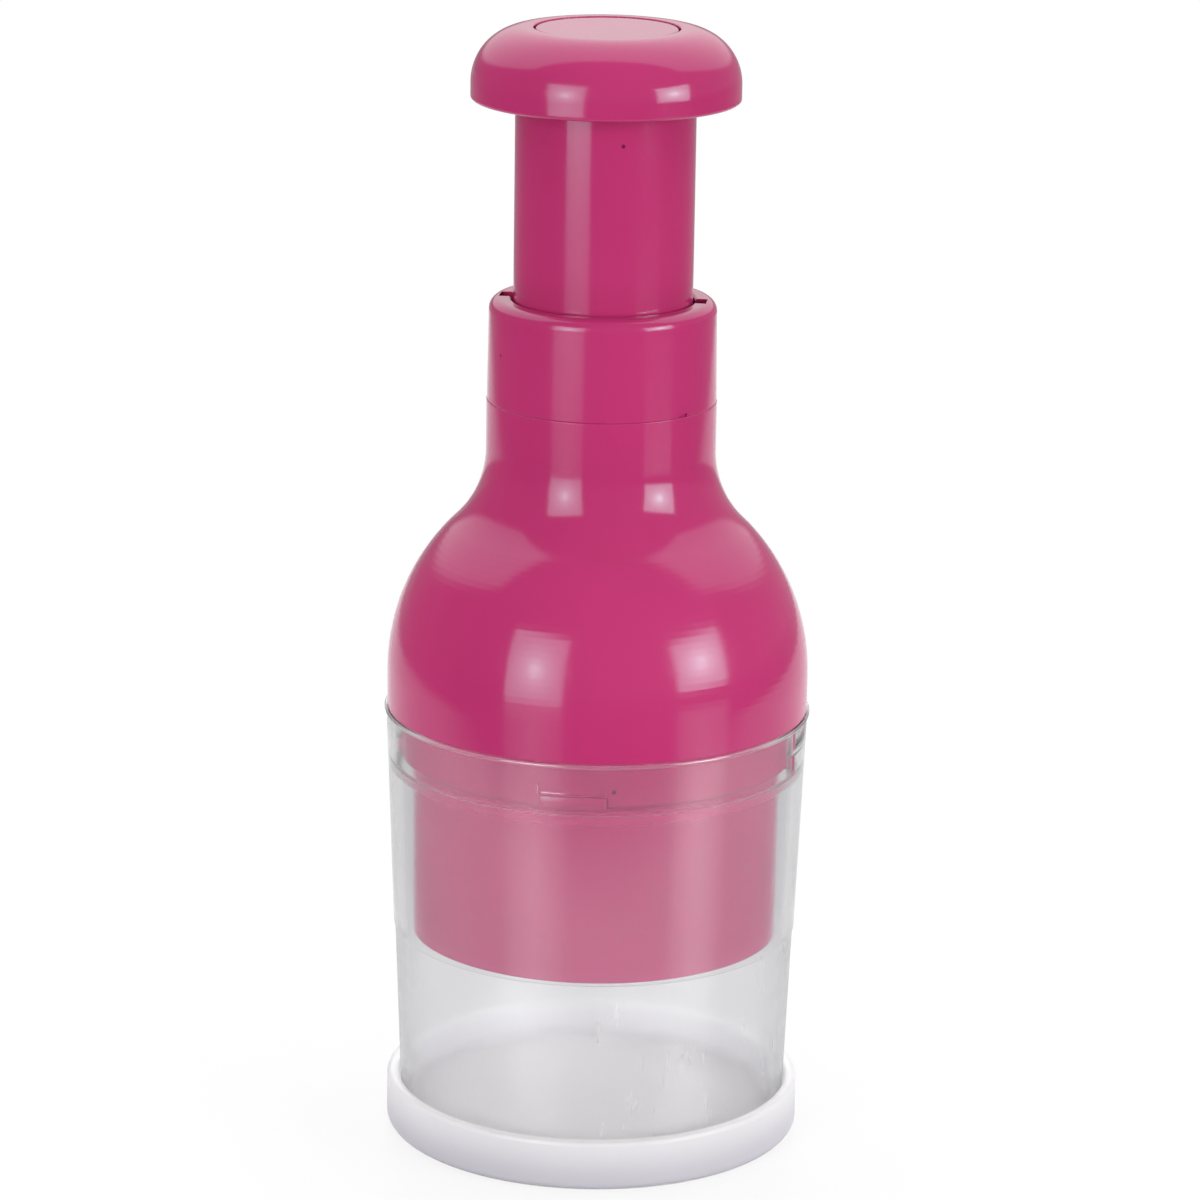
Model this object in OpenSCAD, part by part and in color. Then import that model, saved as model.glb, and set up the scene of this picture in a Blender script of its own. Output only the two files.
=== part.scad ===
// Push-down vegetable chopper. A knob on a sprung plunger drives a turning zigzag blade down
// through a clear container onto a white base lid. Millimetres, +Z up, origin at the centre
// of the underside, with the two collar slots on the X axis.

/* [Base lid] */
// Thickness of the chopping floor
base_floor = 4.4; // [3:0.1:8]
// Height of the base lid
base_h = 11.2; // [9:0.1:18]
// Wall of the ring around the container's foot
base_wall = 2.6; // [1.6:0.1:5]
// Rounding of the bottom edge
base_edge = 2.2; // [0.5:0.1:4]
// Rounding of the ring's top edge
base_brim = 0.9; // [0.2:0.1:1.2]

/* [Container] */
// Height of the container from foot to rim
cup_h = 90.3; // [85:0.1:110]
// Wall at the rim, outside the bayonet mouth
cup_rim_wall = 2.2; // [1.4:0.1:4]
// Wall at the foot
cup_foot_wall = 2; // [1.4:0.1:3]
// Draft of the outside, in degrees
cup_draft = 2.1; // [0.5:0.1:2.6]
// Outward step half way up the outside
cup_step = 0.3; // [0.1:0.05:0.8]
// Height of the step above the skirt's edge
step_up = 1; // [0:0.1:4]
// How far the flange at the rim stands out
rim_out = 0.4; // [0.2:0.1:1]
// Thickness of the flange at the rim
rim_t = 0.7; // [0.4:0.1:1.5]
// Depth of the bayonet mouth below the rim
mouth_depth = 11.6; // [11.3:0.1:16]
// Width of the ledge at the bottom of the mouth
ledge_w = 1.1; // [0.5:0.1:1.6]
// Fall of the ledge towards the inside
ledge_fall = 1.5; // [0.2:0.1:3]

/* [Bayonet] */
// Number of lugs around the guard
lug_count = 4; // [2:1:5]
// Length of a lug along the rim
lug_len = 14.5; // [8:0.1:18]
// How far a lug stands out of the band
lug_out = 0.9; // [0.6:0.1:1.6]
// Height of a lug
lug_h = 3; // [2:0.1:4]
// Distance from the rim down to the lugs' top
lug_drop = 7.7; // [5:0.1:8]
// Height of the tab that holds a lug down
tab_h = 2.5; // [1.5:0.1:3]
// Width of the rib that stops a lug
stop_w = 1.6; // [1:0.1:3]
// Distance from the rim down to the top of that rib
stop_drop = 2; // [1:0.1:5]

/* [Bell housing] */
// Height of the straight band under the dome
bell_band = 7.7; // [7.5:0.1:14]
// Wall of the dome and neck
bell_wall = 2.3; // [1.6:0.1:3.2]
// How far the side lies in from the container's rim
bell_set = 0.2; // [0.1:0.1:0.6]
// Radius of the hollow curve between dome and neck
neck_fillet = 22.8; // [12:0.1:30]
// Straight length of the neck
neck_straight = 10.8; // [6:0.1:20]

/* [Blade guard] */
// Outside radius of the guard's skirt
guard_r = 39.6; // [36:0.1:46]
// Wall of the skirt
guard_wall = 1.8; // [1.2:0.1:2.6]
// How far the band stands out of the skirt
band_out = 2.4; // [1.2:0.1:3]
// Height of the band that fills the container's mouth
band_h = 11.1; // [10:0.1:11.5]
// Rounding of the band's lower edge
band_round = 1.4; // [0.4:0.1:2]
// How far the skirt reaches below the blade's edge
guard_cover = 1.5; // [0.2:0.1:4]
// Height of the ring pressed into the bell
ring_h = 5.7; // [4:0.1:6.5]

/* [Neck collar] */
// Height of the collar above its seam
collar_h = 21.7; // [16:0.1:30]
// Wall of the collar
collar_wall = 2; // [1.4:0.1:3]
// Thickness of the ring at the collar's top
collar_ring = 4.8; // [4:0.1:7]
// Rounding of the collar's top edge
collar_round = 2.4; // [0.5:0.1:3.6]
// Width of the two assembly slots
slot_w = 4.6; // [4.5:0.1:6]
// Angle of the mark cut into the seam
mark_deg = -39; // [-180:1:180]

/* [Guide sleeve] */
// Wall left behind the guide grooves
sleeve_wall = 1.25; // [0.8:0.05:2.5]
// Thickness of the sleeve's floor
sleeve_floor = 3; // [2:0.1:5]
// Height of the flange that sits in the neck
sleeve_flange = 1.5; // [1:0.1:2.5]

/* [Plunger] */
// Travel of the plunger
stroke = 41.7; // [30:0.1:46]
// Outside radius of the plunger tube
tube_r = 19; // [17:0.1:22]
// Wall of the plunger tube
tube_wall = 2.1; // [1.4:0.1:3]
// Length of tube below the stop lugs
tube_tail = 15; // [6:0.1:20]
// How far a stop lug stands out of the tube
key_out = 1.7; // [1:0.1:2.2]
// Width of a stop lug
key_w = 4.2; // [3:0.1:4.3]
// Height of a stop lug
key_h = 6; // [3:0.1:10]
// Thickness of the web that carries the spring
web_t = 3; // [2:0.1:4]
// Height of the screw bosses above the web
boss_h = 4; // [3.5:0.1:5]

/* [Knob] */
// Radius of the knob
knob_r = 28.4; // [26:0.1:34]
// Height of the knob
knob_h = 15.2; // [14.5:0.1:22]
// Rounding of the crown
knob_round = 11.5; // [4:0.1:11.8]
// Wall of the knob
knob_wall = 2.4; // [1.6:0.1:3]
// Thickness of the floor under the disc
knob_floor = 2.5; // [2.2:0.1:4]
// Number of ribs under the knob
knob_ribs = 8; // [3:1:12]
// Radius of the inlaid disc
disc_r = 15; // [14.6:0.1:16]
// Thickness of the disc
disc_t = 1.9; // [1.2:0.1:2.5]
// How far the disc lies below the crown
disc_sink = 0.2; // [0.1:0.1:1]
// Gap around the disc
disc_gap = 0.3; // [0.1:0.1:0.8]

/* [Return spring] */
// Wire thickness
spring_wire = 1.8; // [1:0.1:2.2]
// Number of turns
spring_turns = 14; // [8:1:18]

/* [Turning drive] */
// Width of the twisted bar across flats
bar_w = 7; // [6:0.1:8]
// Chamfer along the bar's four corners
bar_chamfer = 0.9; // [0.4:0.1:1.5]
// Turn of the blade in one stroke, in degrees
index_deg = 45; // [20:1:70]
// Wall of the drive nut around the bar's corners
nut_wall = 2.2; // [1.4:0.1:3]
// Thickness of the drive nut's flange
nut_flange = 2.5; // [1.6:0.1:4]
// How far the drive nut reaches below the sleeve's floor
nut_drop = 4.7; // [2:0.1:8]
// Radius of the drive nut screws
nut_screw_r = 1.1; // [0.8:0.05:1.3]
// Radius of the spindle above the twisted bar
spindle_r = 5; // [4.9:0.1:6.4]
// Radius of the spindle's pivot in the plunger web
pivot_r = 3; // [2.4:0.1:3.6]

/* [Blade and carrier] */
// Height of blade below the carrier
blade_h = 20; // [14:0.1:26]
// Thickness of the blade strip
blade_t = 0.6; // [0.4:0.05:1]
// Number of legs in the zigzag
blade_legs = 6; // [4:2:8]
// Radius of the bends between legs
fold_r = 2.3; // [1.5:0.1:2.6]
// Height of the sharpened edge
bevel_h = 1.4; // [0.6:0.1:3]
// How deep the strip sits in the carrier
blade_seat = 2.5; // [1:0.1:3]
// Thickness of the carrier plate
carrier_t = 4.5; // [4:0.1:8]
// Number of ribs on the carrier
carrier_ribs = 6; // [3:1:12]
// Height of the carrier's rim and ribs
carrier_rim = 5; // [2:0.1:8]

/* [Ratchet] */
// Tip radius of the ratchet wheel
wheel_r = 8; // [7:0.1:9]
// Number of ratchet teeth
wheel_teeth = 10; // [8:1:14]
// Depth of the ratchet teeth
tooth_d = 1.2; // [0.8:0.1:1.6]
// Thickness of the ratchet wheel
wheel_t = 5; // [3:0.1:6]
// Wall of the ratchet housing
hub_wall = 2; // [1.4:0.1:3]
// Number of pawls
pawl_count = 2; // [1:1:2]

/* [Hidden] */
$fn = 96;

// Colours
pink = [0.73, 0.19, 0.42];
clear = [0.86, 0.89, 0.90, 0.4];
white = [0.93, 0.93, 0.93];
natural = [0.88, 0.87, 0.82];
steel = [0.70, 0.71, 0.73];

// Clearances: pieces that seat, run or press together
seat_gap = 0.3;
run_fit = 0.1;
part_fit = 0.05;
lug_room = 0.4;
key_room = 0.2;
bar_room = 0.3;
carrier_room = 1;
edge_room = 0.4;
knob_room = 0.5;
overcut = 1;

// Heights, from the floor up
cup_z = base_floor + seat_gap;
rim_z = cup_z + cup_h;
ledge_z = rim_z - mouth_depth;
bell_z = rim_z + seat_gap;
band_z = bell_z - band_h;
dome_z = bell_z + bell_band;
blade_edge_z = base_floor + edge_room + stroke;
guard_z = blade_edge_z - guard_cover;
step_z = guard_z + step_up;
ledge_foot_z = ledge_z - ledge_fall;
carrier_z = blade_edge_z + blade_h;
carrier_top = carrier_z + carrier_t;

// Radii of the bayonet, from the guard outwards
guard_in = guard_r - guard_wall;
band_r = guard_r + band_out;
lug_r = band_r + lug_out;
mouth_r = lug_r + lug_room;
rim_r = mouth_r + cup_rim_wall;
tab_r = band_r + seat_gap;
ledge_r = mouth_r - ledge_w;
lug_half = lug_len / band_r * 90 / PI;
gap_deg = seat_gap / mouth_r * 180 / PI;
stop_deg = stop_w / mouth_r * 180 / PI;
lug_top = rim_z - lug_drop;
tab_z = lug_top + seat_gap;
tab_face = tab_h / 3;
catch_root = mouth_r + 0.6;
band_edge = min(band_round, band_out - 0.4);

// Radii of the container and base lid
cup_slope = tan(cup_draft);
foot_r = rim_r - cup_step - cup_h * cup_slope;
base_fit = 0.35;
base_in = cup_out(base_h) + base_fit;
base_r = base_in + base_wall;
edge_round = min(base_edge, base_floor - 0.4);
brim_round = min(base_brim, base_wall / 2 - 0.1);
rim_round = 0.5;

// Radii of the plunger, sleeve, collar and bell
tube_in = tube_r - tube_wall;
sleeve_bore = tube_r + run_fit;
groove_r = tube_r + key_out + key_room;
sleeve_r = groove_r + sleeve_wall;
neck_in = sleeve_r + part_fit;
neck_r = neck_in + bell_wall;
collar_r = neck_in + collar_wall;
bell_r = rim_r - bell_set;
bell_in = bell_r - bell_wall;
flange_r = neck_in + bell_wall / 2;

// Heights of the neck, collar and sleeve
fillet_r = neck_r + neck_fillet;
fillet_z = dome_z + sqrt(pow(bell_r + neck_fillet, 2) - pow(fillet_r, 2));
seam_z = fillet_z + neck_straight;
collar_top = seam_z + collar_h;
collar_ring_z = collar_top - collar_ring;
key_top = collar_ring_z - seat_gap;
key_z = key_top - key_h;
tube_z = key_z - tube_tail;
tail_room = 4;
seat_z = tube_z - stroke - tail_room;
sleeve_z = seat_z - sleeve_floor;
mouth_chamfer = 1;
slot_r = groove_r + 1.1;
seam_chamfer = 0.3;
mark_w = 2.4;
mark_h = 0.7;
mark_d = 0.5;

// Heights of the knob and the plunger's top
knob_z = collar_top + stroke + knob_room;
knob_top = knob_z + knob_h;
disc_z = knob_top - disc_sink - disc_t;
tube_top = disc_z - knob_floor;
web_top = tube_top - boss_h;
web_z = web_top - web_t;
washer_t = 1;
spring_top = web_z - washer_t;
crown_round = min(knob_round, knob_h - 2);
crown_x = knob_r - crown_round;
crown_z = knob_top - crown_round;
knob_lip = 1;
socket_wall = 2.2;
rib_t = 1.4;
rib_lift = 3;
knob_screw_r = 1.25;
knob_screw_head = 2.4;
knob_screw_head_t = 1.5;
boss_wall = 1.9;
boss_r = knob_screw_r + boss_wall;
knob_screw_pcr = tube_in - boss_r - 1.2;
knob_screw_count = 3;
screw_room = 0.25;

// Drive: nut, spring and spindle
bar_half = bar_w / 2;
bar_corner = norm([bar_half, bar_half - bar_chamfer]);
bar_rate = index_deg / stroke;
nut_r = bar_corner + bar_room + nut_wall;
nut_z = sleeve_z - nut_drop;
nut_top = seat_z + nut_flange;
spring_room = 1;
spring_r = tube_in - spring_room - spring_wire / 2;
nut_flange_r = spring_r - spring_wire / 2 - 1.2;
nut_screw_pcr = (nut_r + nut_flange_r) / 2;
nut_screw_count = 3;
nut_screw_head = 1.8 * nut_screw_r;
nut_screw_head_t = 1.4;
bar_z0 = nut_z - 7;
bar_z1 = nut_top + stroke + 9;
lower_r = bar_half - 0.1;
key_side = sqrt(2) * (lower_r - 0.2);
thrust_t = 1;
thrust_r = spindle_r + 2.5;
shoulder_t = 2.5;
shoulder_top = web_z - thrust_t - seat_gap;
shoulder_z = shoulder_top - shoulder_t;
shoulder_r = spindle_r + 1.5;
spindle_end = tube_top - 0.6;
clip_z = web_top + seat_gap;
clip_t = 1;
clip_groove_r = pivot_r - 0.7;
clip_r = pivot_r + 2.2;
clip_fit = 0.1;
clip_mouth = 0.85;
web_ring_r = clip_r + 1.2;
web_ring_wall = 1.6;

// Carrier, ratchet and blade
carrier_r = guard_in - carrier_room;
blade_inset = 2.4;
blade_r = carrier_r - blade_inset;
wheel_lift = 1;
wheel_z = carrier_top + wheel_lift;
wheel_top = wheel_z + wheel_t;
pawl_t = 0.9;
pawl_reach = 2.9;
pawl_ring_r = wheel_r + pawl_reach + 1;
hub_in = pawl_ring_r + part_fit;
hub_r = hub_in + hub_wall;
hub_room = 2.5;
hub_top = wheel_top + hub_room;
cover_t = 2;
cover_plug = 1;
carrier_screw_r = 1.5;
carrier_screw_head = 2.8;
carrier_screw_head_t = 2;
carrier_hole_r = carrier_screw_r + 0.2;
wheel_boss_r = lower_r + 1.6;
rim_wall = 1.8;
fold_steps = 6;

// Outside radius of the container at a height
function cup_out(z) = foot_r + (z - cup_z) * cup_slope + (z > step_z ? cup_step : 0);

// Inside radius of the container at a height, straight from foot to ledge
function cup_inside(z) =
    let (foot_in = foot_r - cup_foot_wall)
    foot_in + (ledge_r - foot_in) * (z - cup_z) / (ledge_foot_z - cup_z);

// Point at a radius and an angle
function polar(r, a) = [r * cos(a), r * sin(a)];

// Every reversed list
function reversed(list) = [for (i = [len(list) - 1 : -1 : 0]) list[i]];

// Rectangle in a revolved profile, from one radius and height to another
module band2d(r0, r1, z0, z1) {
    translate([r0, z0])
        square([r1 - r0, z1 - z0]);
}

// What a rounded corner takes away: centre of the rounding, its radius and the corner's side
module corner2d(centre, r, side) {
    reach = r + overcut;
    translate(centre)
        difference() {
            translate([side[0] < 0 ? -reach : 0, side[1] < 0 ? -reach : 0])
                square(reach);
            circle(r);
        }
}

// Ring between two radii and two heights
module ring(r0, r1, z0, z1) {
    rotate_extrude()
        band2d(r0, r1, z0, z1);
}

// Part of a ring between two angles
module ring_sector(r0, r1, z0, z1, a0, a1) {
    rotate([0, 0, a0])
        rotate_extrude(angle = a1 - a0)
            band2d(r0, r1, z0, z1);
}

// Upright cylinder between two heights
module post(r, z0, z1) {
    translate([0, 0, z0])
        cylinder(r = r, h = z1 - z0);
}

// Children repeated at equal angles
module around(count, first = 0) {
    for (i = [0 : count - 1])
        rotate([0, 0, first + i * 360 / count])
            children();
}

// Square with chamfered corners, the section of the twisted bar
module bar_section(half, chamfer) {
    flat = half - chamfer;
    polygon([
        [half, -flat], [half, flat], [flat, half], [-flat, half],
        [-half, flat], [-half, -flat], [-flat, -half], [flat, -half]
    ]);
}

// Twisted bar between two heights: the section turns with height at the stroke's rate
module twisted_bar(half, chamfer, z0, z1) {
    slice = 1.6;
    translate([0, 0, z0])
        rotate([0, 0, -bar_rate * (z0 - nut_z)])
            linear_extrude(
                height = z1 - z0, twist = bar_rate * (z1 - z0), slices = ceil((z1 - z0) / slice), segments = 8
            )
                bar_section(half, chamfer);
}

// Base lid: a round dish that the container's foot drops into
module base_lid() {
    color(white)
        rotate_extrude()
            difference() {
                band2d(0, base_r, 0, base_h);
                band2d(0, base_in, base_floor, base_h + overcut);
                corner2d([base_r - edge_round, edge_round], edge_round, [1, -1]);
                corner2d([base_r - brim_round, base_h - brim_round], brim_round, [1, 1]);
            }
}

// Clear container: a drafted tube, open at both ends, with the bayonet mouth at its top
module container() {
    color(clear)
        union() {
            rotate_extrude()
                difference() {
                    polygon([
                        [cup_inside(cup_z), cup_z],
                        [foot_r, cup_z],
                        [cup_out(step_z), step_z],
                        [cup_out(step_z) + cup_step, step_z],
                        [cup_out(rim_z - rim_t), rim_z - rim_t],
                        [rim_r + rim_out, rim_z - rim_t],
                        [rim_r + rim_out, rim_z],
                        [mouth_r, rim_z],
                        [mouth_r, ledge_z],
                        [ledge_r, ledge_foot_z]
                    ]);
                    corner2d([mouth_r + rim_round, rim_z - rim_round], rim_round, [-1, 1]);
                }
            for (i = [0 : lug_count - 1])
                rotate([0, 0, i * 360 / lug_count])
                    bayonet_catch(i % 2 == 0);
        }
}

// One catch inside the mouth: a tab over a lug, with a ramp on top that lets the lugs past, and
// on a ribbed one the upright rib that the lug stops against
module bayonet_catch(ribbed) {
    rib_near = -(lug_half + gap_deg);
    rib_far = rib_near - stop_deg;
    start = ribbed ? (rib_near + rib_far) / 2 : -lug_half;
    ramp = (tab_h - tab_face) / (mouth_r - tab_r);
    rotate([0, 0, start])
        rotate_extrude(angle = lug_half - start)
            polygon([
                [tab_r, tab_z],
                [catch_root, tab_z],
                [catch_root, tab_z + tab_face + ramp * (catch_root - tab_r)],
                [tab_r, tab_z + tab_face]
            ]);
    if (ribbed)
        ring_sector(tab_r, catch_root, ledge_foot_z, rim_z - stop_drop, rib_far, rib_near);
}

// Profile of the bell between its axis and a surface that lies in from the outside by a wall
module bell_profile(wall, bottom, top) {
    r = bell_r - wall;
    fillet = neck_fillet + wall;
    sweep = acos(fillet_r / (bell_r + neck_fillet));
    join = [r * cos(sweep), dome_z + r * sin(sweep)];
    band2d(0, r, bottom, dome_z);
    intersection() {
        translate([0, dome_z])
            circle(r);
        polygon([[0, dome_z], [r + overcut, dome_z], [r + overcut, join[1]], [0, join[1]]]);
    }
    difference() {
        polygon([[0, join[1]], join, [fillet_r, fillet_z], [0, fillet_z]]);
        translate([fillet_r, fillet_z])
            circle(fillet);
    }
    band2d(0, neck_r - wall, fillet_z, top);
}

// Bell housing: a dome that sweeps up into the neck
module bell_housing() {
    stop_z = bell_z + ring_h;
    stop_h = 1.6;
    stop_in = 1.8;
    color(pink)
        difference() {
            rotate_extrude()
                union() {
                    difference() {
                        bell_profile(0, bell_z, seam_z);
                        bell_profile(bell_wall, bell_z - overcut, seam_z + overcut);
                        band2d(0, flange_r, seam_z - sleeve_flange, seam_z + overcut);
                        polygon([
                            [neck_r - seam_chamfer, seam_z],
                            [neck_r + overcut, seam_z + overcut],
                            [neck_r + overcut, seam_z - seam_chamfer - overcut],
                            [neck_r, seam_z - seam_chamfer]
                        ]);
                    }
                    band2d(bell_in - stop_in, bell_in + bell_wall / 2, stop_z, stop_z + stop_h);
                }
        }
}

// Blade guard: ring pressed into the bell, band with the bayonet lugs, and the long skirt
module blade_guard() {
    ring_r = bell_in - part_fit;
    step_t = guard_wall;
    skirt_draft = 0.2;
    color(pink)
        union() {
            rotate_extrude()
                difference() {
                    polygon([
                        [guard_in - skirt_draft, guard_z],
                        [guard_r - skirt_draft, guard_z],
                        [guard_r, band_z],
                        [band_r, band_z],
                        [band_r, bell_z],
                        [ring_r, bell_z],
                        [ring_r, bell_z + ring_h],
                        [ring_r - guard_wall, bell_z + ring_h],
                        [ring_r - guard_wall, bell_z + guard_wall],
                        [band_r - guard_wall, bell_z],
                        [band_r - guard_wall, band_z + step_t],
                        [guard_in, band_z]
                    ]);
                    corner2d([band_r - band_edge, band_z + band_edge], band_edge, [1, -1]);
                }
            around(lug_count)
                ring_sector(band_r - guard_wall / 2, lug_r, lug_top - lug_h, lug_top, -lug_half, lug_half);
        }
}

// Neck collar: a cap over the sleeve with a rounded brim and two slots for the stop lugs
module neck_collar() {
    bore = sleeve_bore + seat_gap;
    taper = 0.2;
    brim_r = collar_r - taper / 2;
    foot = collar_r + taper;
    brim = min(collar_round, collar_ring - 1);
    mark_angle = mark_deg;
    color(pink)
        difference() {
            rotate_extrude()
                difference() {
                    polygon([
                        [bore, seam_z],
                        [foot - seam_chamfer, seam_z],
                        [foot, seam_z + seam_chamfer],
                        [brim_r, collar_top - brim],
                        [brim_r, collar_top],
                        [bore + mouth_chamfer, collar_top],
                        [bore, collar_top - mouth_chamfer]
                    ]);
                    band2d(0, neck_in, seam_z - overcut, collar_ring_z);
                    corner2d([brim_r - brim, collar_top - brim], brim, [1, 1]);
                }
            for (side = [0, 180])
                rotate([0, 0, side])
                    translate([bore - overcut, -slot_w / 2, collar_ring_z - overcut])
                        cube([slot_r - bore + overcut, slot_w, collar_ring + 2 * overcut]);
            rotate([0, 0, mark_angle])
                translate([foot - mark_d, -mark_w / 2, seam_z - overcut])
                    cube([mark_d + overcut, mark_w, mark_h + overcut]);
        }
}

// Guide sleeve: the plunger's bore, two grooves for its stop lugs, and a floor for the spring
module guide_sleeve() {
    groove_w = key_w + 2 * key_room;
    groove_z = key_z - stroke - 2;
    land_r = nut_flange_r + 1;
    color(natural)
        difference() {
            union() {
                post(sleeve_r, sleeve_z, collar_ring_z);
                post(flange_r - part_fit, seam_z - sleeve_flange, seam_z);
                post(land_r, nut_z, sleeve_z + overcut);
            }
            post(sleeve_bore, seat_z, collar_ring_z + overcut);
            post(nut_r + part_fit, nut_z - overcut, seat_z + overcut);
            for (side = [90, 270])
                rotate([0, 0, side])
                    translate([0, -groove_w / 2, groove_z])
                        cube([groove_r, groove_w, collar_ring_z - groove_z + overcut]);
            around(nut_screw_count)
                translate([nut_screw_pcr, 0, 0])
                    post(nut_screw_r + part_fit, nut_z + overcut, seat_z + overcut);
        }
}

// Drive nut: a flanged bush whose twisted hole turns the spindle as it passes through
module drive_nut() {
    color(natural)
        difference() {
            union() {
                post(nut_r, nut_z, seat_z + overcut);
                post(nut_flange_r, seat_z, nut_top);
            }
            twisted_bar(
                bar_half + bar_room, bar_chamfer + (2 - sqrt(2)) * bar_room, nut_z - overcut, nut_top + overcut
            );
            around(nut_screw_count)
                translate([nut_screw_pcr, 0, 0])
                    post(nut_screw_r + screw_room, seat_z - overcut, nut_top + overcut);
        }
}

// Screws that hold the drive nut to the sleeve's floor
module nut_screws() {
    tip = nut_z + overcut + 0.5;
    color(steel)
        around(nut_screw_count)
            translate([nut_screw_pcr, 0, 0])
                pan_screw(nut_screw_r, nut_screw_head, nut_screw_head_t, tip, nut_top);
}

// Screw with a flat-topped head and a cross slot: shank from its tip to its seat, head above
module pan_screw(shank_r, head_r, head_t, tip, seat) {
    slot = head_r / 3;
    difference() {
        union() {
            post(shank_r, tip, seat);
            post(head_r, seat, seat + head_t);
        }
        for (turn = [0, 90])
            rotate([0, 0, turn])
                translate([-head_r * 0.7, -slot / 2, seat + head_t * 0.4])
                    cube([head_r * 1.4, slot, head_t]);
    }
}

// Height of the spring wire's centre after a number of turns, with one close turn at each end
function spring_height(turn) =
    let (
        close = spring_wire + 0.6,
        low = seat_z + spring_wire / 2 + part_fit,
        high = spring_top - spring_wire / 2 - part_fit,
        open = (high - low - 2 * close) / (spring_turns - 2)
    )
    turn <= 1 ? low + close * turn
    : turn >= spring_turns - 1 ? high - close * (spring_turns - turn)
    : low + close + open * (turn - 1);

// Return spring: one wire wound between the sleeve's floor and the washer under the web
module return_spring() {
    rings = 16;
    sides = 6;
    steps = spring_turns * rings;
    wire = spring_wire / 2;
    points = [
        for (i = [0 : steps])
            let (turn = i / rings, spin = 360 * turn)
            for (j = [0 : sides - 1])
                let (out = spring_r + wire * cos(360 * j / sides))
                [out * cos(spin), out * sin(spin), spring_height(turn) + wire * sin(360 * j / sides)]
    ];
    walls = [
        for (i = [0 : steps - 1])
            for (j = [0 : sides - 1])
                let (a = i * sides + j, b = i * sides + (j + 1) % sides)
                for (face = [[a, a + sides, b], [b, a + sides, b + sides]])
                    face
    ];
    start = [for (j = [1 : sides - 2]) [0, j, j + 1]];
    finish = [for (j = [1 : sides - 2]) [steps * sides, steps * sides + j + 1, steps * sides + j]];
    gaps = [
        for (i = [0 : steps - rings])
            spring_height(i / rings + 1) - spring_height(i / rings) - spring_wire
    ];
    echo(least_gap_between_spring_turns = min(gaps));
    color(steel)
        polyhedron(points = points, faces = concat(walls, start, finish));
}

// Push knob: a hollow mushroom with a socket for the tube, ribs, and a recess for the disc
module push_knob() {
    socket_r = tube_r + part_fit;
    inner_round = crown_round - knob_wall;
    lip = min(knob_lip, knob_wall / 2 - 0.1);
    color(pink)
        difference() {
            union() {
                rotate_extrude()
                    difference() {
                        band2d(0, knob_r, knob_z, knob_top);
                        corner2d([crown_x, crown_z], crown_round, [1, 1]);
                        corner2d([knob_r - lip, knob_z + lip], lip, [1, -1]);
                        difference() {
                            band2d(0, knob_r - knob_wall, knob_z - overcut, tube_top);
                            corner2d([crown_x, crown_z], inner_round, [1, 1]);
                        }
                    }
                ring(socket_r, socket_r + socket_wall, knob_z, tube_top + knob_floor / 2);
                intersection() {
                    around(knob_ribs)
                        translate([socket_r + socket_wall / 2, -rib_t / 2, knob_z + rib_lift])
                            cube([knob_r - knob_wall / 2 - socket_r - socket_wall / 2, rib_t, knob_h]);
                    rotate_extrude()
                        difference() {
                            band2d(socket_r, knob_r - knob_wall / 2, knob_z, tube_top + knob_floor / 2);
                            corner2d([crown_x, crown_z], crown_round - knob_wall / 2, [1, 1]);
                        }
                }
            }
            post(disc_r + disc_gap, disc_z, knob_top + overcut);
            around(knob_screw_count)
                translate([knob_screw_pcr, 0, 0]) {
                    post(knob_screw_r + screw_room, tube_top - overcut, disc_z + overcut);
                    post(knob_screw_head + screw_room, disc_z - knob_screw_head_t - 0.2, disc_z + overcut);
                }
        }
}

// Inlaid disc that hides the knob's screws
module knob_disc() {
    edge = min(0.4, disc_t / 3);
    color(pink)
        rotate_extrude()
            difference() {
                band2d(0, disc_r, disc_z, disc_z + disc_t);
                corner2d([disc_r - edge, disc_z + disc_t - edge], edge, [1, 1]);
            }
}

// Screws that hold the knob to the tube
module knob_screws() {
    seat = disc_z - knob_screw_head_t - 0.2;
    tip = web_top + 0.5;
    color(steel)
        around(knob_screw_count)
            translate([knob_screw_pcr, 0, 0])
                pan_screw(knob_screw_r, knob_screw_head, knob_screw_head_t, tip, seat);
}

// Plunger tube: open below, with stop lugs near its lower end and a web with bosses at its top
module plunger_tube() {
    color(pink)
        difference() {
            union() {
                rotate_extrude()
                    union() {
                        band2d(tube_in, tube_r, tube_z, tube_top);
                        band2d(0, tube_in + tube_wall / 2, web_z, web_top);
                        band2d(web_ring_r, web_ring_r + web_ring_wall, web_top - web_t / 2, tube_top);
                    }
                around(knob_screw_count)
                    translate([knob_screw_pcr, 0, 0])
                        post(boss_r, web_top - web_t / 2, tube_top);
                for (side = [90, 270])
                    rotate([0, 0, side])
                        stop_lug();
            }
            post(web_ring_r, web_top, tube_top + overcut);
            post(pivot_r + run_fit, web_z - overcut, web_top + overcut);
            around(knob_screw_count)
                translate([knob_screw_pcr, 0, 0])
                    post(knob_screw_r + part_fit, web_top, tube_top + overcut);
        }
}

// Stop lug: a curved block that meets the underside of the collar's ring
module stop_lug() {
    intersection() {
        translate([tube_r - tube_wall / 2, -key_w / 2, key_z])
            cube([key_out + tube_wall, key_w, key_h]);
        post(tube_r + key_out, key_z, key_top);
    }
}

// Steel washer between the spring and the web
module spring_washer() {
    color(steel)
        ring(thrust_r + 1, tube_in - 0.4, spring_top, web_z);
}

// Slippery washer between the spindle's shoulder and the web
module thrust_washer() {
    color(white)
        ring(pivot_r + run_fit, thrust_r, web_z - thrust_t, web_z);
}

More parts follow.
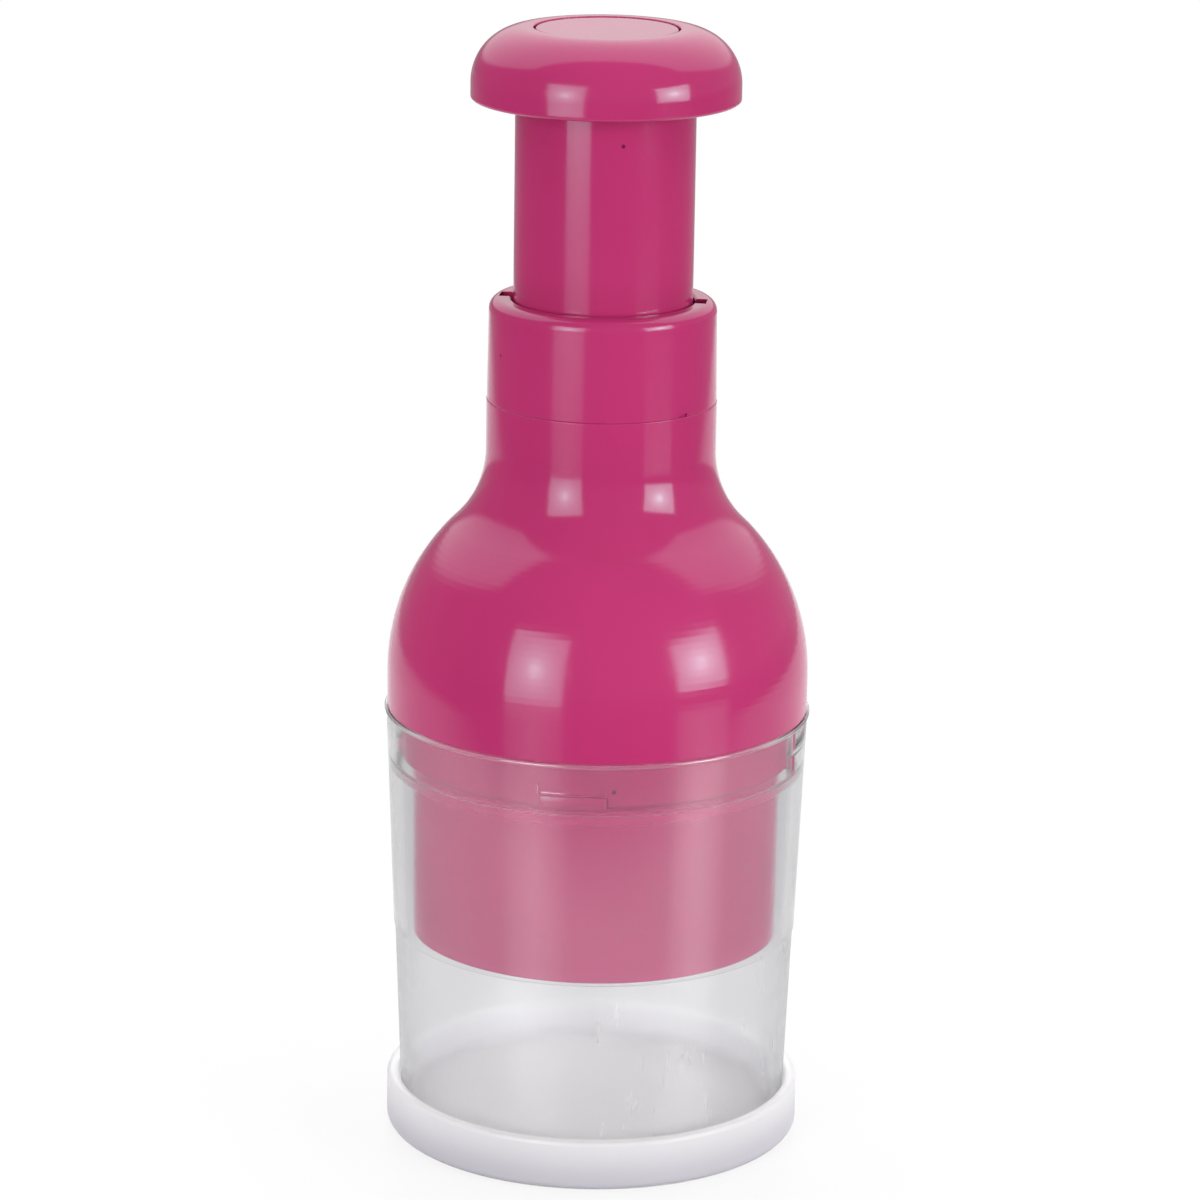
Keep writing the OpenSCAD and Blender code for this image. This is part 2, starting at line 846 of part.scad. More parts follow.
// Spindle: pivot and shoulder at the top, twisted bar in the middle, square key at the bottom
module twist_spindle() {
    color(natural)
        difference() {
            union() {
                translate([-key_side / 2, -key_side / 2, wheel_z])
                    cube([key_side, key_side, wheel_t + overcut]);
                post(lower_r, wheel_top, bar_z0 + overcut);
                twisted_bar(bar_half, bar_chamfer, bar_z0, bar_z1);
                post(spindle_r, bar_z1 - overcut, shoulder_z + overcut);
                post(shoulder_r, shoulder_z, shoulder_top);
                post(pivot_r, shoulder_top - overcut, spindle_end);
            }
            ring(clip_groove_r, pivot_r + overcut, clip_z - clip_fit, clip_z + clip_t + clip_fit);
            post(carrier_screw_r + part_fit, wheel_z - overcut, wheel_top);
        }
}

// Clip in the groove of the pivot, above the web
module spindle_clip() {
    color(steel)
        difference() {
            ring(clip_groove_r + part_fit, clip_r, clip_z, clip_z + clip_t);
            translate([0, -clip_groove_r * clip_mouth, clip_z - overcut])
                cube([clip_r + overcut, 2 * clip_groove_r * clip_mouth, clip_t + 2 * overcut]);
        }
}

// Ratchet wheel: saw teeth around a square hole
module ratchet_wheel() {
    pitch = 360 / wheel_teeth;
    hole = key_side / 2 + part_fit;
    color(natural)
        translate([0, 0, wheel_z])
            linear_extrude(height = wheel_t)
                difference() {
                    polygon([
                        for (i = [0 : wheel_teeth - 1])
                            for (p = [polar(wheel_r, -i * pitch), polar(wheel_r - tooth_d, -(i + 1) * pitch)])
                                p
                    ]);
                    translate([-hole, -hole])
                        square(2 * hole);
                }
}

// Pawl ring: springy arms that catch the saw teeth one way and ride over them the other
module pawl_ring() {
    inner = pawl_ring_r - 1;
    color(natural)
        translate([0, 0, carrier_top])
            linear_extrude(height = wheel_lift + wheel_t)
                union() {
                    difference() {
                        circle(pawl_ring_r);
                        circle(inner);
                    }
                    for (i = [0 : pawl_count - 1])
                        rotate(i * round(wheel_teeth / 2) * 360 / wheel_teeth)
                            pawl_arm(inner);
                }
}

// One pawl: a bent arm from the ring to just short of a tooth's steep face
module pawl_arm(root) {
    nose = wheel_r - tooth_d + 0.4;
    bend = (wheel_r + root) / 2;
    nose_deg = 1.8;
    bend_deg = 34;
    root_deg = 64;
    polygon([
        polar(nose, nose_deg),
        polar(nose + pawl_t, nose_deg),
        polar(bend + pawl_t / 2, bend_deg),
        polar(root + pawl_t / 2, root_deg - 8),
        polar(root + pawl_t / 2, root_deg),
        polar(bend - pawl_t / 2, bend_deg)
    ]);
}

// Cover of the ratchet housing
module hub_cover() {
    hole = lower_r + seat_gap;
    color(natural)
        difference() {
            union() {
                post(hub_r, hub_top, hub_top + cover_t);
                post(hub_in - part_fit, hub_top - cover_plug, hub_top + overcut);
            }
            post(hole, hub_top - cover_plug - overcut, hub_top + cover_t + overcut);
        }
}

// Centre of a bend of the zigzag, on alternate sides of the blade's circle
function fold_centre(i) =
    let (
        reach = blade_r - fold_r - blade_t,
        x = reach * 0.88 * (2 * i / blade_legs - 1)
    )
    [x, (i % 2 == 0 ? -1 : 1) * sqrt(pow(reach, 2) - pow(x, 2))];

// Direction of a leg, which touches the bends at its two ends on opposite sides
function leg_dir(i) =
    let (
        span = fold_centre(i + 1) - fold_centre(i),
        lean = asin(2 * fold_r / norm(span))
    )
    atan2(span[1], span[0]) + (i % 2 == 0 ? lean : -lean);

// Point of the path on a bend, for the direction in which the strip runs there
function fold_point(i, dir) =
    let (side = i % 2 == 0 ? -90 : 90, p = fold_centre(i) + polar(fold_r, dir + side))
    [p[0], p[1], dir];

// Path of the strip: x, y and direction at each point, bend by bend
function blade_path() = concat(
    [fold_point(0, leg_dir(0))],
    [
        for (i = [1 : blade_legs - 1])
            for (k = [0 : fold_steps])
                fold_point(i, leg_dir(i - 1) + (leg_dir(i) - leg_dir(i - 1)) * k / fold_steps)
    ],
    [fold_point(blade_legs, leg_dir(blade_legs - 1))]
);

// Point of the path moved sideways, to the left of the direction
function beside(p, offset) = [p[0], p[1]] + polar(offset, p[2] + 90);

// Zigzag blade: one folded strip with an edge ground to a point along its bottom
module zigzag_blade() {
    path = blade_path();
    half = blade_t / 2;
    shoulder = blade_edge_z + bevel_h;
    top = carrier_z + blade_seat;
    section = [[0, blade_edge_z], [half, shoulder], [half, top], [-half, top], [-half, shoulder]];
    corners = len(section);
    last = (len(path) - 1) * corners;
    points = [
        for (p = path)
            for (s = section)
                let (at = beside(p, s[0]))
                [at[0], at[1], s[1]]
    ];
    walls = [
        for (i = [0 : len(path) - 2])
            for (j = [0 : corners - 1])
                let (a = i * corners + j, b = i * corners + (j + 1) % corners)
                for (face = [[a, a + corners, b], [b, a + corners, b + corners]])
                    face
    ];
    start = [for (j = [1 : corners - 2]) [0, j, j + 1]];
    finish = [for (j = [1 : corners - 2]) [last, last + j + 1, last + j]];
    color(steel)
        polyhedron(points = points, faces = concat(walls, start, finish));
}

// Groove in the carrier for the strip
module blade_groove() {
    path = blade_path();
    half = blade_t / 2 + part_fit;
    left = [for (p = path) beside(p, half)];
    right = [for (p = path) beside(p, -half)];
    end = path[len(path) - 1];
    before = [for (s = [-half, half]) beside(path[0], s) - polar(part_fit, path[0][2])];
    after = [for (s = [half, -half]) beside(end, s) + polar(part_fit, end[2])];
    translate([0, 0, carrier_z - overcut])
        linear_extrude(height = blade_seat + overcut)
            polygon(concat(before, left, after, reversed(right)));
}

// Blade carrier: a ribbed piston plate with the ratchet housing on top and the strip below
module blade_carrier() {
    rib_r = carrier_r - rim_wall / 2;
    color(natural)
        difference() {
            union() {
                post(carrier_r, carrier_z, carrier_top);
                ring(carrier_r - rim_wall, carrier_r, carrier_top - overcut, carrier_top + carrier_rim);
                ring(hub_in, hub_r, carrier_top - overcut, hub_top);
                post(wheel_boss_r, carrier_top - overcut, wheel_z);
                around(carrier_ribs)
                    translate([hub_r - hub_wall / 2, -rib_t / 2, carrier_top - overcut])
                        cube([rib_r - hub_r + hub_wall / 2, rib_t, carrier_rim + overcut]);
            }
            blade_groove();
            post(carrier_hole_r, carrier_z - overcut, wheel_z + overcut);
            post(carrier_screw_head + screw_room, carrier_z - overcut, carrier_z + carrier_screw_head_t);
        }
}

// Screw that draws the carrier up against the ratchet wheel and spindle
module carrier_screw() {
    seat = carrier_z + carrier_screw_head_t;
    tip = wheel_top - 1;
    color(steel)
        translate([0, 0, seat])
            rotate([180, 0, 0])
                pan_screw(carrier_screw_r, carrier_screw_head, carrier_screw_head_t, -(tip - seat), 0);
}

base_lid();
container();
bell_housing();
blade_guard();
neck_collar();
guide_sleeve();
drive_nut();
nut_screws();
return_spring();
push_knob();
knob_disc();
knob_screws();
plunger_tube();
spring_washer();
thrust_washer();
twist_spindle();
spindle_clip();
ratchet_wheel();
pawl_ring();
hub_cover();
blade_carrier();
zigzag_blade();
carrier_screw();
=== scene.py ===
"""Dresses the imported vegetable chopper: fine meshes, finishes, studio and camera."""

import logging
import math
from abc import ABC, abstractmethod
from dataclasses import dataclass, field
from enum import Enum
from typing import Sequence

import bmesh
import bpy
from mathutils import Matrix, Vector


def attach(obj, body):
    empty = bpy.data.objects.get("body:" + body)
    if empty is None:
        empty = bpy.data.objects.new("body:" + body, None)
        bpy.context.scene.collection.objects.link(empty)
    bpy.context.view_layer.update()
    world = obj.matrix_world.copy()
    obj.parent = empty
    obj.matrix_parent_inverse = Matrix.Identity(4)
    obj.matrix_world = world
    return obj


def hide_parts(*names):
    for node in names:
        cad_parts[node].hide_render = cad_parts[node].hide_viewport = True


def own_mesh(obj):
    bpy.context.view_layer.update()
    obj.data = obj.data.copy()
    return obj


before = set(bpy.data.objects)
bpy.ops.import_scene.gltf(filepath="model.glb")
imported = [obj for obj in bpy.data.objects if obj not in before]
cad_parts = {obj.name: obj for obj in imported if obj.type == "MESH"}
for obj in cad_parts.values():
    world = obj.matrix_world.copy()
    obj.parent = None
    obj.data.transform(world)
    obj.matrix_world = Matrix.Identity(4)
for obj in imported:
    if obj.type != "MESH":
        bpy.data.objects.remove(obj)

log = logging.getLogger("chopper")
logging.basicConfig(level=logging.INFO, format="%(name)s: %(message)s")

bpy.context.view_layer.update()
# One millimetre in metres. Pieces are drawn in millimetres and built in metres
MM = 0.001
# Distance in metres under which two corners of a mesh are one
MERGE = 1e-7
# Length in millimetres under which there is no direction
TINY = 1e-6
# Usual roundings of small edges, in millimetres
CRISP, FINE, SOFT = 0.2, 0.3, 0.5
# How far a joined solid sinks into another, and a cutting block goes past a face, in millimetres
SINK, PAST = 0.5, 1.0

Point2 = tuple[float, float]
Point3 = Colour = tuple[float, float, float]
# Corner of a revolved outline: radius, height and, where it is rounded, the rounding, in millimetres
Corner = Point2 | Point3
Thing = bpy.types.Object
Node = bpy.types.Node
Nodes = bpy.types.NodeTree
Socket = bpy.types.NodeSocket

WHITE: Colour = (1.0, 1.0, 1.0)


class Body(str, Enum):
    """The CAD bodies that pieces ride on."""

    BASE = "base"
    CONTAINER = "container"
    HOUSING = "housing"
    PLUNGER = "plunger"
    BLADE_UNIT = "blade_unit"


class Slot(str, Enum):
    """The record's material slots."""

    PINK = "pink_plastic"
    CLEAR = "clear_plastic"
    WHITE = "white_plastic"
    NATURAL = "natural_plastic"
    STEEL = "steel"


class Carve(str, Enum):
    """How one solid changes another."""

    ADD = "UNION"
    CUT = "DIFFERENCE"


# Outlines and meshes


def arc(centre: Point2, radius: float, start: float, end: float, steps: int) -> list[Corner]:
    """Corners along an arc about a centre, from one angle in degrees to another, 90 being upwards."""
    turn = [math.radians(start + (end - start) * i / steps) for i in range(steps + 1)]
    return [(centre[0] + radius * math.cos(a), centre[1] + radius * math.sin(a)) for a in turn]


def rounded(
    corners: Sequence[Corner], step: float = 15.0, straight: float = 178.0, long: float = 1.2,
    hold: float = 0.12,
) -> list[Point2]:
    """Closed outline with its corners rounded and its straight stretches held flat.

    Args:
        corners: The outline's corners in order.
        step: Largest angle between points on a rounding, in degrees.
        straight: Angle in degrees from which a corner is too flat to round.
        long: Length in millimetres from which a stretch is held flat.
        hold: Distance from the ends of a long stretch at which a point keeps it flat.

    Returns:
        Points of the outline, as radius and height in millimetres.
    """
    points: list[Point2] = []
    for i, (r, z, *rounding) in enumerate(corners):
        here = Vector((r, z))
        before, after = (Vector(corners[k % len(corners)][:2]) - here for k in (i - 1, i + 1))
        before.normalize()
        after.normalize()
        between = before.angle(after, math.pi)
        if not rounding or between > math.radians(straight):
            points.append((r, z))
            continue
        reach = rounding[0] / math.tan(between / 2)
        middle = here + (before + after).normalized() * (rounding[0] / math.sin(between / 2))
        first = here + before * reach - middle
        sweep = first.angle_signed(here + after * reach - middle)
        steps = max(2, math.ceil(abs(math.degrees(sweep)) / step))
        for k in range(steps + 1):
            spoke = first.copy()
            spoke.rotate(Matrix.Rotation(-sweep * k / steps, 2))
            points.append((middle.x + spoke.x, middle.y + spoke.y))
    held: list[Point2] = []
    for (r, z), (r2, z2) in zip(points, points[1:] + points[:1]):
        held.append((r, z))
        span = math.dist((r, z), (r2, z2))
        if span > long:
            held += [(r + (r2 - r) * share, z + (z2 - z) * share) for share in (hold / span, 1 - hold / span)]
    return held


def new_object(name: str, data: bpy.types.ID) -> Thing:
    """Object at the origin, linked to the scene.

    Args:
        name: Name of the object.
        data: Mesh, curve, lamp or camera that it shows.

    Returns:
        The object.
    """
    made = bpy.data.objects.new(name, data)
    bpy.context.scene.collection.objects.link(made)
    return made


def settle(piece: Thing, sharp: float = 38.0) -> Thing:
    """Shades a piece smooth and keeps its real edges sharp.

    Args:
        piece: The piece to shade.
        sharp: Smallest angle of an edge that stays sharp, in degrees.

    Returns:
        The same piece.
    """
    mesh = piece.data
    mesh.polygons.foreach_set("use_smooth", [True] * len(mesh.polygons))
    mesh.set_sharp_from_angle(angle=math.radians(sharp))
    mesh.update()
    return piece


def from_bmesh(name: str, shape: bmesh.types.BMesh) -> Thing:
    """Closes a working mesh into a settled object.

    Args:
        name: Name of the object.
        shape: The working mesh, in metres. It is freed.

    Returns:
        The object.
    """
    bmesh.ops.remove_doubles(shape, verts=shape.verts, dist=MERGE)
    bmesh.ops.recalc_face_normals(shape, faces=shape.faces)
    mesh = bpy.data.meshes.new(name)
    shape.to_mesh(mesh)
    shape.free()
    return settle(new_object(name, mesh))


def at(r: float, turn: float, z: float) -> Vector:
    """Place in metres at a radius and height in millimetres and an angle in radians."""
    return Vector((r * MM * math.cos(turn), r * MM * math.sin(turn), z * MM))


def lathe(name: str, corners: Sequence[Corner], segments: int = 144) -> Thing:
    """Solid of revolution about the Z axis.

    Args:
        name: Name of the object.
        corners: Closed outline in millimetres. Corners on the axis close into poles.
        segments: Number of stretches around.

    Returns:
        The turned solid.
    """
    shape = bmesh.new()
    turns = [math.tau * k / segments for k in range(segments)]
    rings: list[list[bmesh.types.BMVert]] = []
    for r, z in rounded(corners):
        if r < TINY:
            rings.append([shape.verts.new(at(0.0, 0.0, z))] * segments)
        else:
            rings.append([shape.verts.new(at(r, turn, z)) for turn in turns])
    for low, high in zip(rings, rings[1:] + rings[:1]):
        for k in range(segments):
            beside = (k + 1) % segments
            face = list(dict.fromkeys((low[k], low[beside], high[beside], high[k])))
            if len(face) > 2:
                shape.faces.new(face)
    return from_bmesh(name, shape)


def oblong(radii: Point2, heights: Point2) -> list[Point2]:
    """Rectangular section between two radii and two heights."""
    return [(radii[0], heights[0]), (radii[1], heights[0]), (radii[1], heights[1]), (radii[0], heights[1])]


def bevel(shape: bmesh.types.BMesh, edges: Sequence[bmesh.types.BMEdge], width: float) -> None:
    """Bevels edges of a working mesh by a width in millimetres."""
    bmesh.ops.bevel(shape, geom=edges, offset=width * MM, segments=2, affect="EDGES", profile=0.5)


def sector(
    name: str, section: Sequence[Point2], angles: Point2, width: float, steps: int = 14, folded: float = 40.0
) -> Thing:
    """Section swept part of the way round the axis.

    Args:
        name: Name of the object.
        section: Radius and height of its corners in millimetres.
        angles: First and last angle in degrees.
        width: Width of the bevel on its edges, in millimetres.
        steps: Number of stretches along its length.
        folded: Smallest angle of an edge that gets the bevel, in degrees.

    Returns:
        The block.
    """
    shape = bmesh.new()
    rows: list[list[bmesh.types.BMVert]] = []
    for k in range(steps + 1):
        turn = math.radians(angles[0] + (angles[1] - angles[0]) * k / steps)
        rows.append([shape.verts.new(at(r, turn, z)) for r, z in section])
    for low, high in zip(rows, rows[1:]):
        for j in range(len(section)):
            beside = (j + 1) % len(section)
            shape.faces.new([low[j], low[beside], high[beside], high[j]])
    shape.faces.new(rows[0])
    shape.faces.new(rows[-1])
    bmesh.ops.recalc_face_normals(shape, faces=shape.faces)
    bevel(shape, [e for e in shape.edges if e.calc_face_angle(0.0) > math.radians(folded)], width)
    return from_bmesh(name, shape)


def block(name: str, low: Sequence[float], high: Sequence[float], width: float = 0.0) -> Thing:
    """Box with bevelled edges.

    Args:
        name: Name of the object.
        low: Lowest corner in millimetres.
        high: Highest corner in millimetres.
        width: Width of the bevel on its edges, in millimetres.

    Returns:
        The box.
    """
    shape = bmesh.new()
    bmesh.ops.create_cube(shape, size=1.0)
    size = Vector(high) - Vector(low)
    middle = (Vector(high) + Vector(low)) / 2
    for vert in shape.verts:
        vert.co = vert.co * size * MM + middle * MM
    if width > 0:
        bevel(shape, shape.edges[:], width)
    return from_bmesh(name, shape)


def wire(name: str, points: Sequence[Sequence[float]], closed: bool) -> Thing:
    """Level curve through points in millimetres.

    Args:
        name: Name of the curve.
        points: Its points.
        closed: Whether its ends join.

    Returns:
        The curve object.
    """
    data = bpy.data.curves.new(name, "CURVE")
    data.dimensions = "3D"
    spline = data.splines.new("POLY")
    spline.points.add(len(points) - 1)
    for target, (x, y) in zip(spline.points, points):
        target.co = (x * MM, y * MM, 0.0, 1.0)
    spline.use_cyclic_u = closed
    return new_object(name, data)


def baked(piece: Thing) -> Thing:
    """Replaces a piece's mesh by what its modifiers make of it.

    Args:
        piece: The piece, whose modifiers are removed.

    Returns:
        The same piece.
    """
    graph = bpy.context.evaluated_depsgraph_get()
    mesh = bpy.data.meshes.new_from_object(piece.evaluated_get(graph))
    piece.modifiers.clear()
    piece.data = mesh
    return piece


def carve(piece: Thing, tool: Thing, how: Carve) -> Thing:
    """Adds a tool solid to a piece or cuts it out, and removes the tool.

    Args:
        piece: The piece to change.
        tool: The solid to add or cut.
        how: Whether it is added or cut.

    Returns:
        The changed piece, settled again.
    """
    change = piece.modifiers.new("carve", "BOOLEAN")
    change.operation = how.value
    change.solver = "EXACT"
    change.use_self = True
    change.object = tool
    baked(piece)
    bpy.data.objects.remove(tool)
    shape = bmesh.new()
    shape.from_mesh(piece.data)
    bmesh.ops.remove_doubles(shape, verts=shape.verts, dist=MERGE)
    shape.to_mesh(piece.data)
    shape.free()
    return settle(piece)


def joined(name: str, pieces: Sequence[Thing]) -> Thing:
    """One solid made of several that overlap.

    Args:
        name: Name of the object.
        pieces: The first takes in the others.

    Returns:
        The joined object.
    """
    whole = pieces[0]
    for piece in pieces[1:]:
        carve(whole, piece, Carve.ADD)
    whole.name = whole.data.name = name
    return whole


# Node trees


class Tree:
    """Adds and links the nodes of one tree."""

    NUMBERS = ("LENGTH", "DISTANCE", "DOT_PRODUCT")

    def __init__(self, tree: Nodes) -> None:
        """Keeps the tree that nodes go into."""
        self.tree = tree

    def add(self, kind: str, inputs: dict | None = None, **settings: object) -> Node:
        """Adds a node.

        Args:
            kind: Blender's name of the node type. A shader node goes without "ShaderNode".
            inputs: Values or sockets for the node's inputs, by name or index.
            **settings: Properties of the node itself.

        Returns:
            The node.
        """
        node = self.tree.nodes.new(kind if "Node" in kind else "ShaderNode" + kind)
        for name, value in settings.items():
            setattr(node, name, value)
        for key, value in (inputs or {}).items():
            self.feed(node.inputs[key], value)
        return node

    def feed(self, socket: Socket, value: object) -> None:
        """Links a socket to another, or sets its value.

        Args:
            socket: The input.
            value: Socket to link it to, or value to set.
        """
        if isinstance(value, Socket):
            self.tree.links.new(value, socket)
        else:
            socket.default_value = value

    def math(self, operation: str, *values: object) -> Socket:
        """Result of a Math node."""
        return self.add("Math", dict(enumerate(values)), operation=operation).outputs[0]

    def plus(self, first: object, second: object) -> Socket:
        """Sum of two numbers or sockets."""
        return self.math("ADD", first, second)

    def minus(self, first: object, second: object) -> Socket:
        """Difference of two numbers or sockets."""
        return self.math("SUBTRACT", first, second)

    def times(self, first: object, second: object) -> Socket:
        """Product of two numbers or sockets."""
        return self.math("MULTIPLY", first, second)

    def vector(self, operation: str, *values: object) -> Socket:
        """Result of a Vector Math node, which is a number for a length, distance or dot product."""
        node = self.add("VectorMath", dict(enumerate(values)), operation=operation)
        return node.outputs["Value" if operation in self.NUMBERS else "Vector"]

    def noise(self, place: Socket, scale: object, detail: float) -> Socket:
        """Value of a Noise Texture node."""
        return self.add("TexNoise", {"Vector": place, "Scale": scale, "Detail": detail}).outputs[0]

    def blend(self, share: object, first: object, second: object) -> Socket:
        """Adds a mix of two colours.

        Args:
            share: Socket or number that says how much of the second is in it.
            first: First colour or socket.
            second: Second colour or socket.

        Returns:
            The socket with the mixed colour.
        """
        node = self.add("Mix", data_type="RGBA")
        for index, value in ((0, share), (6, first), (7, second)):
            self.feed(node.inputs[index], (*value, 1.0) if isinstance(value, tuple) else value)
        return node.outputs[2]

    def range(self, value: Socket, span: Point2, ends: Point2) -> Socket:
        """Adds a Map Range node with smooth ends.

        Args:
            value: Socket to map.
            span: Its values at the two ends.
            ends: What these are mapped to.

        Returns:
            The socket with the mapped value.
        """
        limits = {"From Min": span[0], "From Max": span[1], "To Min": ends[0], "To Max": ends[1]}
        node = self.add("MapRange", {"Value": value, **limits}, interpolation_type="SMOOTHSTEP")
        return node.outputs["Result"]

    def rise(self, value: Socket, span: Point2) -> Socket:
        """Mask that goes from 0 to 1 across a span of a value."""
        return self.range(value, span, (0.0, 1.0))

    def fall(self, value: Socket, span: Point2) -> Socket:
        """Mask that goes from 1 to 0 across a span of a value."""
        return self.range(value, span, (1.0, 0.0))


def cleared(owner: bpy.types.ID) -> Tree:
    """Switches something to nodes and empties its tree.

    Args:
        owner: Material, world or lamp.

    Returns:
        The tree.
    """
    owner.use_nodes = True
    owner.node_tree.nodes.clear()
    return Tree(owner.node_tree)


def new_group(
    name: str, kind: str, inputs: dict[str, str], outputs: dict[str, str]
) -> tuple[Tree, dict, dict]:
    """Starts a node group with named sockets.

    Args:
        name: Name of the group.
        kind: Blender's name of the tree type.
        inputs: Socket types of the inputs by name, without "NodeSocket".
        outputs: Socket types of the outputs by name.

    Returns:
        The tree, the sockets that bring the inputs in and those that take the outputs.
    """
    group = bpy.data.node_groups.new(name, kind)
    for way, sockets in (("INPUT", inputs), ("OUTPUT", outputs)):
        for socket, socket_type in sockets.items():
            group.interface.new_socket(name=socket, in_out=way, socket_type="NodeSocket" + socket_type)
    tree = Tree(group)
    entry = tree.add("NodeGroupInput")
    leave = tree.add("NodeGroupOutput")
    return tree, {s: entry.outputs[s] for s in inputs}, {s: leave.inputs[s] for s in outputs}


def grown(name: str, tree: Nodes, values: dict[str, object]) -> Thing:
    """Plain mesh that a geometry tree makes.

    Args:
        name: Name of the object.
        tree: The geometry node tree.
        values: Values of its inputs by name.

    Returns:
        The object, with no modifier left on it.
    """
    host = new_object(name, bpy.data.meshes.new(name))
    growth = host.modifiers.new("grow", "NODES")
    growth.node_group = tree
    for item in tree.interface.items_tree:
        if item.item_type == "SOCKET" and item.in_out == "INPUT" and item.name in values:
            growth[item.identifier] = values[item.name]
    return settle(baked(host))


class Growth:
    """The geometry trees for what repeats round the axis or follows a path."""

    WIRE_SIDES = 12

    def __init__(self) -> None:
        """Builds each tree once."""
        self.ring = self._ring_of_copies()
        self.coil = self._wound_wire()
        self.strip = self._folded_strip()

    def _open(self, name: str, inputs: dict[str, str]) -> tuple[Tree, dict, dict]:
        """Starts a geometry tree that takes a finish after its own inputs."""
        return new_group(name, "GeometryNodeTree", {**inputs, "Finish": "Material"}, {"Geometry": "Geometry"})

    def _close(self, tree: Tree, shape: Socket, into: dict, out: dict) -> Nodes:
        """Ends a tree in real geometry with its finish.

        Args:
            tree: The tree.
            shape: Socket with what it has made.
            into: Sockets of its inputs.
            out: Sockets of its outputs.

        Returns:
            Blender's tree.
        """
        real = tree.add("GeometryNodeRealizeInstances", {0: shape}).outputs[0]
        painted = tree.add("GeometryNodeSetMaterial", {"Geometry": real, "Material": into["Finish"]})
        tree.feed(out["Geometry"], painted.outputs[0])
        return tree.tree

    @staticmethod
    def _swept(tree: Tree, curve: Socket, section: Socket) -> Socket:
        """Capped mesh of a section drawn along a curve."""
        inputs = {"Curve": curve, "Profile Curve": section, "Fill Caps": True}
        return tree.add("GeometryNodeCurveToMesh", inputs).outputs[0]

    def _ring_of_copies(self) -> Nodes:
        """Tree that sets copies of a piece at equal angles round the axis.

        Returns:
            The tree.
        """
        inputs = {"Piece": "Object", "Count": "Int", "First Angle": "Float"}
        tree, into, out = self._open("ring_of_copies", inputs)
        points = tree.add("GeometryNodePoints", {"Count": into["Count"]}).outputs[0]
        index = tree.add("GeometryNodeInputIndex").outputs[0]
        pitch = tree.math("DIVIDE", math.tau, into["Count"])
        angle = tree.plus(tree.times(index, pitch), into["First Angle"])
        turn = tree.add("CombineXYZ", {"Z": angle}).outputs[0]
        piece = tree.add("GeometryNodeObjectInfo", {"Object": into["Piece"]}).outputs["Geometry"]
        where = {"Points": points, "Instance": piece, "Rotation": turn}
        copies = tree.add("GeometryNodeInstanceOnPoints", where).outputs[0]
        return self._close(tree, copies, into, out)

    def _wound_wire(self) -> Nodes:
        """Tree that winds a round wire into a spring with one close turn at each end.

        Returns:
            The tree.
        """
        tree, into, out = self._open("wound_wire", {
            "Turns": "Float", "Steps": "Int", "Mean Radius": "Float", "Wire Radius": "Float",
            "Bottom": "Float", "Close Pitch": "Float", "Open Pitch": "Float",
        })
        line = tree.add("GeometryNodeCurvePrimitiveLine").outputs[0]
        count = tree.plus(tree.times(into["Turns"], into["Steps"]), 1.0)
        wire = tree.add("GeometryNodeResampleCurve", {"Curve": line, "Count": count}).outputs[0]
        turn = tree.math("DIVIDE", tree.add("GeometryNodeInputIndex").outputs[0], into["Steps"])
        angle = tree.times(turn, math.tau)
        first = tree.math("MINIMUM", turn, 1.0)
        last = tree.math("MAXIMUM", tree.minus(turn, tree.minus(into["Turns"], 1.0)), 0.0)
        middle = tree.minus(tree.minus(turn, first), last)
        close = tree.times(tree.plus(first, last), into["Close Pitch"])
        rise = tree.plus(close, tree.times(middle, into["Open Pitch"]))
        place = tree.add("CombineXYZ", {
            "X": tree.times(tree.math("COSINE", angle), into["Mean Radius"]),
            "Y": tree.times(tree.math("SINE", angle), into["Mean Radius"]),
            "Z": tree.plus(rise, into["Bottom"]),
        }).outputs[0]
        wound = tree.add("GeometryNodeSetPosition", {"Geometry": wire, "Position": place}).outputs[0]
        inputs = {"Resolution": self.WIRE_SIDES, "Radius": into["Wire Radius"]}
        section = tree.add("GeometryNodeCurvePrimitiveCircle", inputs).outputs[0]
        return self._close(tree, self._swept(tree, wound, section), into, out)

    def _folded_strip(self) -> Nodes:
        """Tree that draws a section along a level path, as a folded strip.

        Returns:
            The tree.
        """
        tree, into, out = self._open("folded_strip", {"Path": "Object", "Section": "Object"})
        path, section = (
            tree.add("GeometryNodeObjectInfo", {"Object": into[name]}).outputs["Geometry"]
            for name in ("Path", "Section")
        )
        upright = tree.add("GeometryNodeSetCurveNormal", {"Curve": path}, mode="Z_UP").outputs[0]
        return self._close(tree, self._swept(tree, upright, section), into, out)

    def around(
        self, name: str, piece: Thing, count: int, finish: bpy.types.Material, first: float = 0.0
    ) -> Thing:
        """Ring of copies of a piece, which is removed.

        Args:
            name: Name of the ring.
            piece: The piece to copy.
            count: Number of copies.
            finish: Material of the copies.
            first: Angle of the first copy in degrees.

        Returns:
            The ring as one mesh.
        """
        values = {"Piece": piece, "Count": count, "First Angle": math.radians(first), "Finish": finish}
        ring = grown(name, self.ring, values)
        bpy.data.objects.remove(piece)
        return ring


